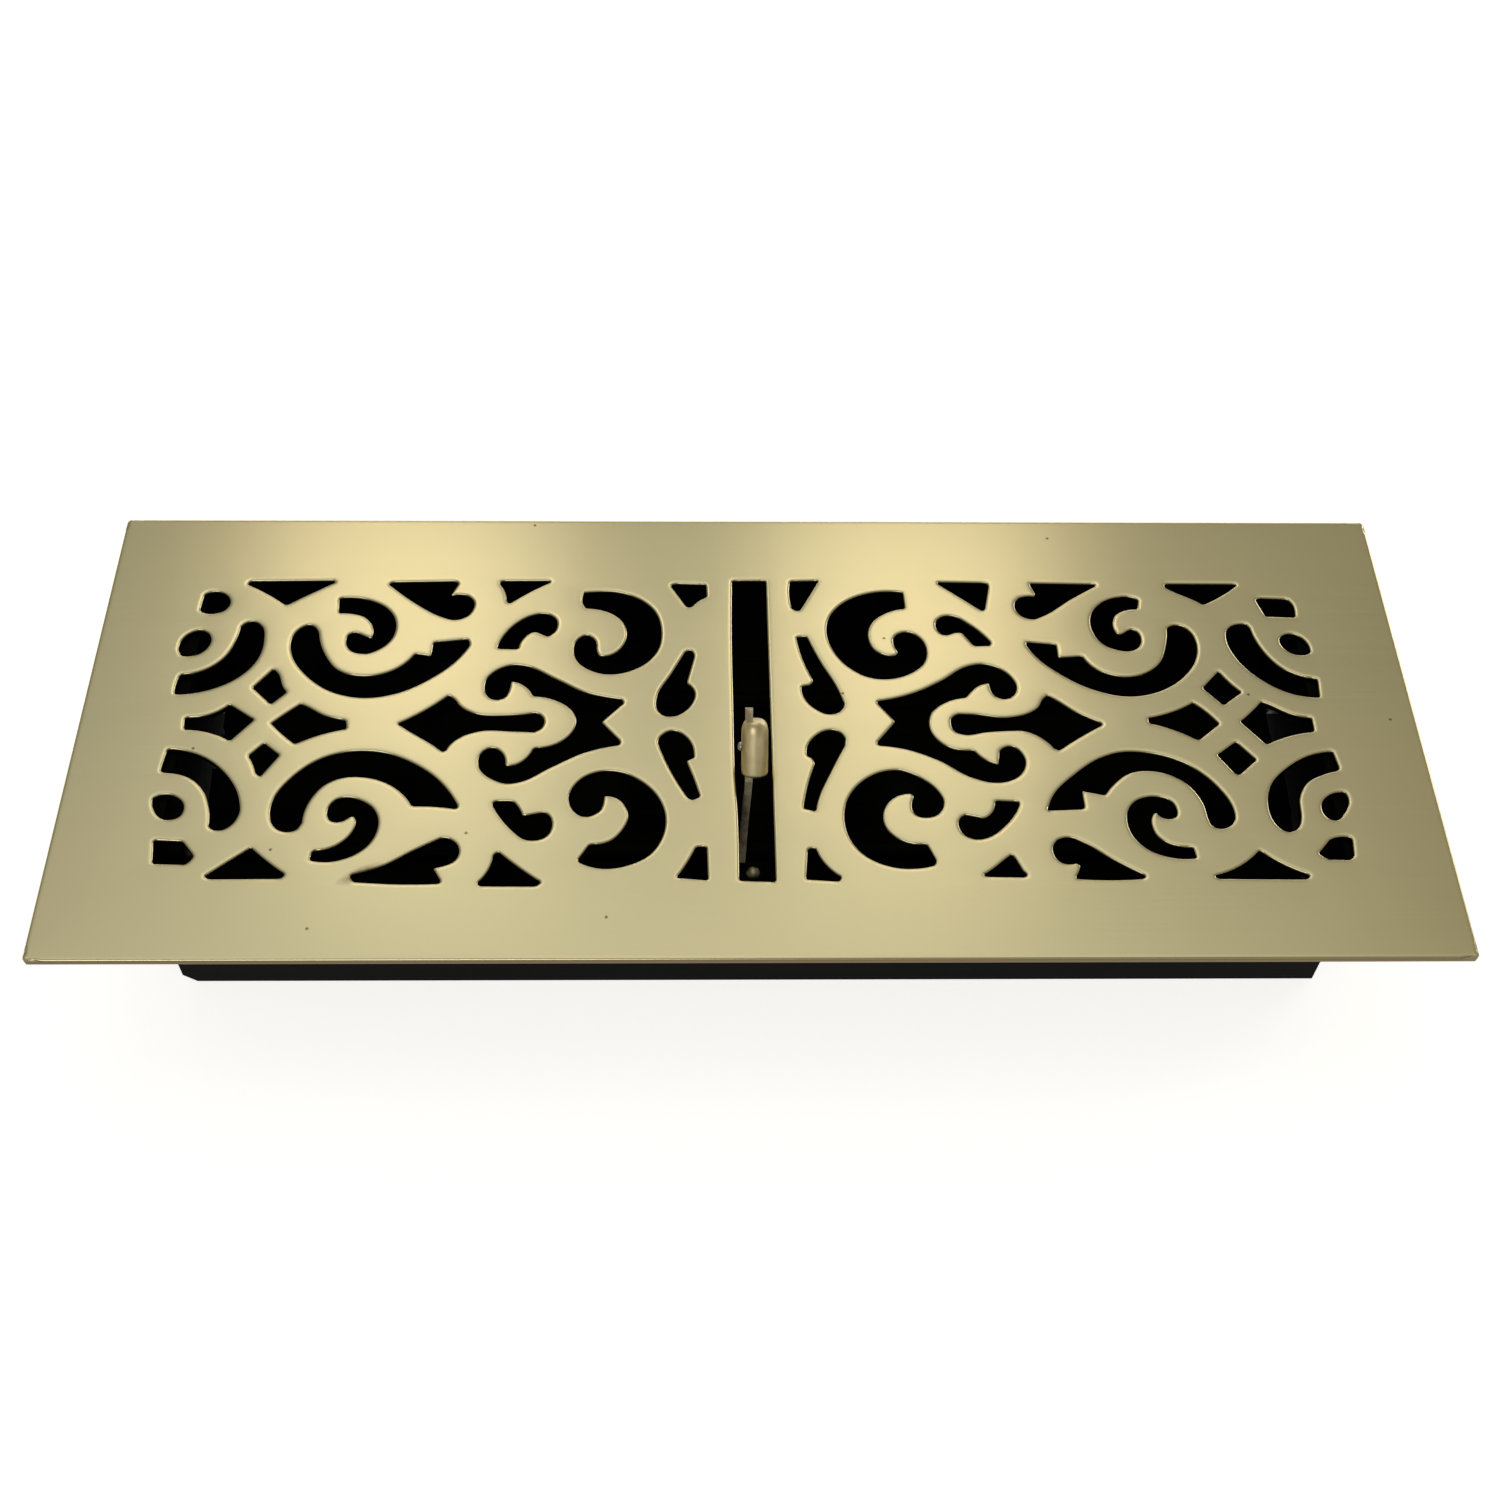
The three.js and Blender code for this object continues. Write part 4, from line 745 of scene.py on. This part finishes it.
# %% Brushed brass
brass = Finish("brushed brass", 1.0, 0.3)
streaks = brass.noise((14, 2600, 14), 4.0, 0.65)
fine = brass.noise((60, 7000, 60), 2.0, 0.5)
clouds = brass.noise((16, 22, 16), 3.0, 0.5)
distance = brass.add("ShaderNodeAttribute")
distance.attribute_name = "edge_distance"
buffed = brass.span(distance.outputs["Fac"], 0.0, 1.1 * MM, 1.0, 0.0)
metal = brass.blend(brass.span(clouds, 0.35, 0.68), (0.80, 0.72, 0.455, 1),
                    (0.765, 0.71, 0.45, 1))
metal = brass.blend(brass.span(streaks, 0.35, 0.65, 0.0, 0.5), metal, (0.83, 0.745, 0.48, 1))
metal = brass.blend(brass.times(buffed, 0.6), metal, (0.92, 0.82, 0.52, 1))
brass.shader.inputs["Anisotropic"].default_value = 0.62
along_brush = brass.add("ShaderNodeTangent")
along_brush.direction_type = "UV_MAP"
along_brush.uv_map = "brushing"
brass.feed(brass.shader.inputs["Tangent"], along_brush.outputs["Tangent"])
print("brass brushed and buffed")

# %% [markdown]
# ## Pinpricks and a scorch
# A few tiny pits have darkened in the brass, and heat has left one brown scorch beside a
# cut-out. A pit is a dot at the middle of a Voronoi cell, kept in only a few of the cells. The
# scorch is a stretched, turned distance from one spot, broken up by noise. Both could be
# painted by hand, but this way they have a place and a size in millimetres.

# %% Pinpricks and scorch
CELLS_PER_METRE = 85.0
PIT_CORE, PIT_RIM = 0.02, 0.045
pits = brass.add("ShaderNodeTexVoronoi", Vector=brass.place, Scale=CELLS_PER_METRE)
pits.voronoi_dimensions = "2D"
pit_cell = brass.add("ShaderNodeSeparateColor", Color=pits.outputs["Color"])
rare = brass.span(pit_cell.outputs["Red"], 0.95, 0.96)
pinprick = brass.times(brass.span(pits.outputs["Distance"], PIT_CORE, PIT_RIM, 1.0, 0.0), rare)
metal = brass.blend(brass.times(pinprick, 0.8), metal, (0.16, 0.12, 0.06, 1))

SCORCH_LENGTH, SCORCH_WIDTH, SCORCH_TURN = 6.6 * MM, 2.1 * MM, math.radians(27)
scorch_place = brass.add("ShaderNodeMapping", Vector=brass.place)
scorch_place.vector_type = "TEXTURE"
scorch_place.inputs["Location"].default_value = (-95.1 * MM, -46.0 * MM, plate_high.z)
scorch_place.inputs["Rotation"].default_value = (0, 0, SCORCH_TURN)
scorch_place.inputs["Scale"].default_value = (SCORCH_LENGTH, SCORCH_WIDTH, 1)
from_scorch = brass.add("ShaderNodeVectorMath")
from_scorch.operation = "LENGTH"
brass.feed(from_scorch.inputs[0], scorch_place.outputs["Vector"])
soot = brass.noise((500, 700, 500), 3.0)
scorch = brass.times(brass.span(from_scorch.outputs["Value"], 0.2, 1.0, 0.95, 0.0),
                     brass.span(soot, 0.25, 0.6, 0.6, 1.0))
metal = brass.blend(scorch, metal, (0.13, 0.085, 0.03, 1))
print("pinpricks and a scorch")

# %% [markdown]
# ## Sawn sides
# The belt never reaches the sides. Those in the cut-outs, and the underside next to them, are
# painted near-black as painted shade for the dark inside the cut-outs. Those round the border
# are brown, and both are duller than the top. Separate materials would leave a hard line at
# the rolled edge, so the value stored on the points blends from one to the other.

# %% Sawn sides and grain
sawn_side = brass.add("ShaderNodeAttribute")
sawn_side.attribute_name = "sawn_side"
cut_out_painted_shade = brass.span(sawn_side.outputs["Fac"], 0.03, 0.2)
outside = brass.span(sawn_side.outputs["Fac"], -0.03, -0.2)
metal = brass.blend(outside, metal, (0.19, 0.145, 0.075, 1))
# Painted shade: the sides in the cut-outs, and the underside round them, turn near-black.
metal = brass.blend(cut_out_painted_shade, metal, (0.006, 0.006, 0.005, 1))
polish = brass.plus(brass.span(streaks, 0.3, 0.7, 0.235, 0.255), brass.times(buffed, -0.04))
polish = brass.plus(polish, brass.times(brass.plus(cut_out_painted_shade, outside), 0.25))
grain = brass.bump(brass.plus(streaks, brass.times(fine, 0.5)), 0.002, 0.15)
grain = brass.bump(clouds, 0.06, 0.3, over=grain)
brass.coat(metal, polish, grain)
faceplate.data.materials.append(brass.material)
print("brushed brass on the faceplate")

# %% [markdown]
# ## Turned brass
# The knob is polished on the lathe, which leaves faint rings round it. Grooves in the mesh
# would be too coarse for that, so they are a bump. The studs are plain brass rod, tarnished
# in patches, since nobody polishes what sits under the plate.

# %% Turned brass
knob_finish = Finish("turned brass", 1.0, 0.4)
rings = knob_finish.noise((300, 1500, 2600), 3.0)
rubbed = knob_finish.noise((180, 180, 180), 3.0)
color = knob_finish.blend(knob_finish.span(rubbed, 0.4, 0.62), (0.88, 0.74, 0.45, 1),
                          (0.98, 0.86, 0.57, 1))
knob_finish.coat(color, knob_finish.span(rubbed, 0.3, 0.7, 0.36, 0.5),
                 knob_finish.bump(rings, 0.01, 0.35))

stud_finish = Finish("stud brass", 1.0, 0.35)
tarnish = stud_finish.noise((400, 400, 200), 3.0)
color = stud_finish.blend(stud_finish.span(tarnish, 0.35, 0.65), (0.72, 0.62, 0.34, 1),
                          (0.5, 0.41, 0.22, 1))
stud_finish.coat(color, stud_finish.span(tarnish, 0.3, 0.7, 0.28, 0.48),
                 stud_finish.bump(tarnish, 0.02, 0.3))
print("two kinds of turned brass")

# %% [markdown]
# ## Nickel and zinc
# The lever and its rivets are nickel plated and worn through in dull brown patches. The
# lever's foot, low in the box, is painted near-black below a set height as painted shade, and
# the lever is less of a mirror than bare metal. Rods and nuts are zinc plated. Zinc grows small
# crystals, which are the cells of a Voronoi pattern, each with a roughness of its own.

# %% Nickel and zinc
SATIN_IOR = 1.07


def worn_nickel(name, metallic, shade_below=None):
    nickel = Finish(name, metallic, 0.35)
    wear = nickel.noise((260, 160, 160), 4.0, 0.65)
    scratch = nickel.noise((900, 150, 150), 3.0)
    color = nickel.blend(nickel.span(wear, 0.44, 0.6), (0.80, 0.71, 0.52, 1),
                         (0.42, 0.35, 0.23, 1))
    if shade_below is not None:
        height = nickel.add("ShaderNodeSeparateXYZ", Vector=nickel.place).outputs["Z"]
        # Painted shade: below this height the lever's foot, low in the box, turns near-black.
        foot_shade = nickel.span(height, shade_below, shade_below + 1.2 * MM, 1.0, 0.0)
        color = nickel.blend(foot_shade, color, (0.004, 0.004, 0.003, 1))
        nickel.shader.inputs["IOR"].default_value = SATIN_IOR
    return nickel.coat(color, nickel.span(wear, 0.35, 0.7, 0.3, 0.5),
                       nickel.bump(scratch, 0.02, 0.4))


rivet_nickel = worn_nickel("worn nickel plate", 1.0)
lever_nickel = worn_nickel("worn nickel, painted shade on foot", 0.4, shade_below=24.2 * MM)

zinc = Finish("zinc plate", 1.0, 0.38)
spangle = zinc.add("ShaderNodeTexVoronoi", Vector=zinc.place, Scale=900.0)
crystal = zinc.add("ShaderNodeSeparateColor", Color=spangle.outputs["Color"])
mottled = zinc.span(crystal.outputs["Red"], 0.0, 1.0, 0.32, 0.48)
dull = zinc.noise((120, 120, 120), 3.0)
color = zinc.blend(zinc.span(dull, 0.35, 0.65), (0.62, 0.62, 0.6, 1), (0.42, 0.42, 0.4, 1))
zinc.coat(color, mottled, zinc.bump(dull, 0.02, 0.3))
print("two nickels and a zinc")

# %% [markdown]
# ## Black paint
# The box is sprayed satin black over thin rolled sheet, and it has gathered a little dust. Such
# paint is very dark and reflects little, so its index of refraction is set low. Bumps for the
# spray's peel and the rolling marks lie one over the other.

# %% Black paint
def black_paint(name, depth_mm, dust):
    paint = Finish(name, 0.0, 0.36)
    peel = paint.noise((700, 700, 700), 2.0)
    rolled = paint.noise((20, 500, 500), 3.0)
    dusty = paint.noise((45, 60, 60), 4.0, 0.6)
    color = paint.blend(paint.span(dusty, 0.42, 0.75), (0.002, 0.002, 0.0018, 1), dust)
    paint.shader.inputs["IOR"].default_value = SATIN_IOR
    gloss = paint.plus(paint.span(dusty, 0.3, 0.7, 0.34, 0.46),
                       paint.span(rolled, 0.3, 0.7, -0.03, 0.03))
    surface = paint.bump(peel, depth_mm, 0.35)
    return paint.coat(color, gloss, paint.bump(rolled, 0.02, 0.3, over=surface))


box_paint = black_paint("black enamel", 0.02, (0.005, 0.005, 0.0046, 1))
rivet_paint = black_paint("painted rivets", 0.03, (0.011, 0.0105, 0.0095, 1))
print("two black paints")

# %% [markdown]
# ## Giving out the finishes
# Every piece made here already carries the name of its material slot, and the frame's record
# names one for each of its own pieces. One table turns both into finishes, so that no piece is
# forgotten. The faceplate has its brass already, and the lever then gets the finish with
# painted shade on its foot.

# %% Finishes on the pieces
finish_of_slot = {"brass_plate": stud_finish.material, "brass_knob": knob_finish.material,
                  "nickel_plate": rivet_nickel, "zinc_hardware": zinc.material,
                  "black_paint": box_paint, "blackened_rivets": rivet_paint}
for piece in bpy.data.objects:
    if piece.get("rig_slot") and not piece.data.materials:
        piece.data.materials.append(finish_of_slot[piece["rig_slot"]])
for part in frame["record"]["subparts"]:
    for place in nodes[part["node"]].material_slots:
        place.material = finish_of_slot[part["material_slot"]]
nodes["lever"].material_slots[0].material = lever_nickel
print(len(finish_of_slot) + 1, "more finishes given out")

# %% [markdown]
# ## Floor
# The piece stands on a plain pale sheet, wide enough to reach far beyond it. A hard lamp
# overhead could whiten it, but would show in the brass, so the sheet glows as a light table
# does. The part under the box is masked off, so no light comes up through the louvres.

# %% Floor
FLOOR_HALF = 6.0
UNDER_BOX = Vector((146.5, 49.7)) * MM
floor_mesh = bpy.data.meshes.new("floor")
floor_mesh.from_pydata([(-FLOOR_HALF, -FLOOR_HALF, 0), (FLOOR_HALF, -FLOOR_HALF, 0),
                        (FLOOR_HALF, FLOOR_HALF, 0), (-FLOOR_HALF, FLOOR_HALF, 0)], [],
                       [(0, 1, 2, 3)])
floor = bpy.data.objects.new("floor", floor_mesh)
floor.location.z = cad_low.z - 0.05 * MM
bpy.context.scene.collection.objects.link(floor)
paper = Finish("pale paper", 0.0, 0.9)
paper.coat((0.88, 0.88, 0.88, 1))
paper.shader.inputs["Specular IOR Level"].default_value = 0.1
paper.shader.inputs["Emission Color"].default_value = (1, 1, 1, 1)
across = paper.add("ShaderNodeSeparateXYZ", Vector=paper.place)
past_x = paper.plus(paper.maths("ABSOLUTE", across.outputs["X"]), -UNDER_BOX.x)
past_y = paper.plus(paper.maths("ABSOLUTE", across.outputs["Y"]), -UNDER_BOX.y)
past_box = paper.maths("MAXIMUM", past_x, past_y)
glow = paper.span(past_box, -4 * MM, -1 * MM, 0.0, 0.75)
paper.feed(paper.shader.inputs["Emission Strength"], glow)
floor_mesh.materials.append(paper.material)
print("floor", 2 * FLOOR_HALF, "m square")

# %% [markdown]
# ## Sky glow
# Bright metal shows the room and little else. The flat plate mirrors a patch of air high on the
# far side, so that patch gets a broad soft glow. Large panels could make it, but their corners
# would show as edges in the brass, so the glows are smooth rounds in the sky itself. Overhead
# stays darker, which draws the far rims as shaded lines.

# %% Sky glow
world = bpy.data.worlds.new("studio")
bpy.context.scene.world = world
world.use_nodes = True
sky = world.node_tree
sky.nodes.clear()


def sky_node(kind, operation=None):
    node = sky.nodes.new(kind)
    if operation:
        node.operation = operation
    return node


def toward(azimuth_deg, elevation_deg):
    a, e = math.radians(azimuth_deg), math.radians(elevation_deg)
    return Vector((math.sin(a) * math.cos(e), math.cos(a) * math.cos(e), math.sin(e)))


looking = sky_node("ShaderNodeTexCoord").outputs["Generated"]
BASE_SKY = (0.225, 0.215, 0.168, 1)
glows = [((-8, 68), 30, (0.41, 0.415, 0.41, 1)),
         ((48, 70), 30, (0.13, 0.118, 0.085, 1)),
         ((-50, 66), 30, (0.09, 0.092, 0.09, 1)),
         ((8, 2), 26, (0.30, 0.29, 0.26, 1))]
total = sky_node("ShaderNodeRGB").outputs[0]
total.default_value = BASE_SKY
for (azimuth, elevation), spread, tint in glows:
    facing = sky_node("ShaderNodeVectorMath", "DOT_PRODUCT")
    sky.links.new(looking, facing.inputs[0])
    facing.inputs[1].default_value = toward(azimuth, elevation)
    soft = sky_node("ShaderNodeMapRange")
    soft.interpolation_type = "SMOOTHSTEP"
    soft.inputs["From Min"].default_value = math.cos(math.radians(spread))
    sky.links.new(facing.outputs["Value"], soft.inputs["Value"])
    patch = sky_node("ShaderNodeVectorMath", "SCALE")
    patch.inputs[0].default_value = tint[:3]
    sky.links.new(soft.outputs["Result"], patch.inputs["Scale"])
    adding = sky_node("ShaderNodeVectorMath", "ADD")
    sky.links.new(total, adding.inputs[0])
    sky.links.new(patch.outputs["Vector"], adding.inputs[1])
    total = adding.outputs["Vector"]
background = sky_node("ShaderNodeBackground")
sky.links.new(total, background.inputs["Color"])
sky.links.new(background.outputs["Background"],
              sky_node("ShaderNodeOutputWorld").inputs["Surface"])
print(len(glows), "glows in the sky")

# %% [markdown]
# ## Lamps and panels
# Two small warm lamps stand where the plate mirrors them, and make its two hot spots. The
# rolled edges mirror the low far side and the right, where two dim panels stand, and a third
# panel lifts the near side. They are area lamps, since a point lamp would leave a hard glint.

# %% Lamps and panels
def lamp(name, place_mm, size_mm, watts, color, shape="DISK"):
    data = bpy.data.lights.new(name, "AREA")
    data.shape = shape
    data.size = size_mm[0] * MM
    if len(size_mm) > 1:
        data.size_y = size_mm[1] * MM
    data.energy = watts
    data.color = color
    made = bpy.data.objects.new(name, data)
    made.location = Vector(place_mm) * MM
    made.rotation_euler = (-made.location).to_track_quat("-Z", "Y").to_euler()
    bpy.context.scene.collection.objects.link(made)
    return made


WARM = (1.0, 0.87, 0.68)
lamp("warm lamp left", (-328, 1044, 1227), (330,), 0.37, WARM)
lamp("warm lamp right", (200, 1044, 1227), (330,), 0.37, WARM)
lamp("far low panel", (0, 1900, 520), (1700, 420), 3.0, (1.0, 0.97, 0.9), "RECTANGLE")
lamp("right panel", (1500, 1250, 620), (900, 620), 4.0, (1.0, 0.96, 0.88), "RECTANGLE")
lamp("near fill", (-700, -1700, 1500), (1400, 1000), 7.0, (1.0, 0.99, 0.97), "RECTANGLE")
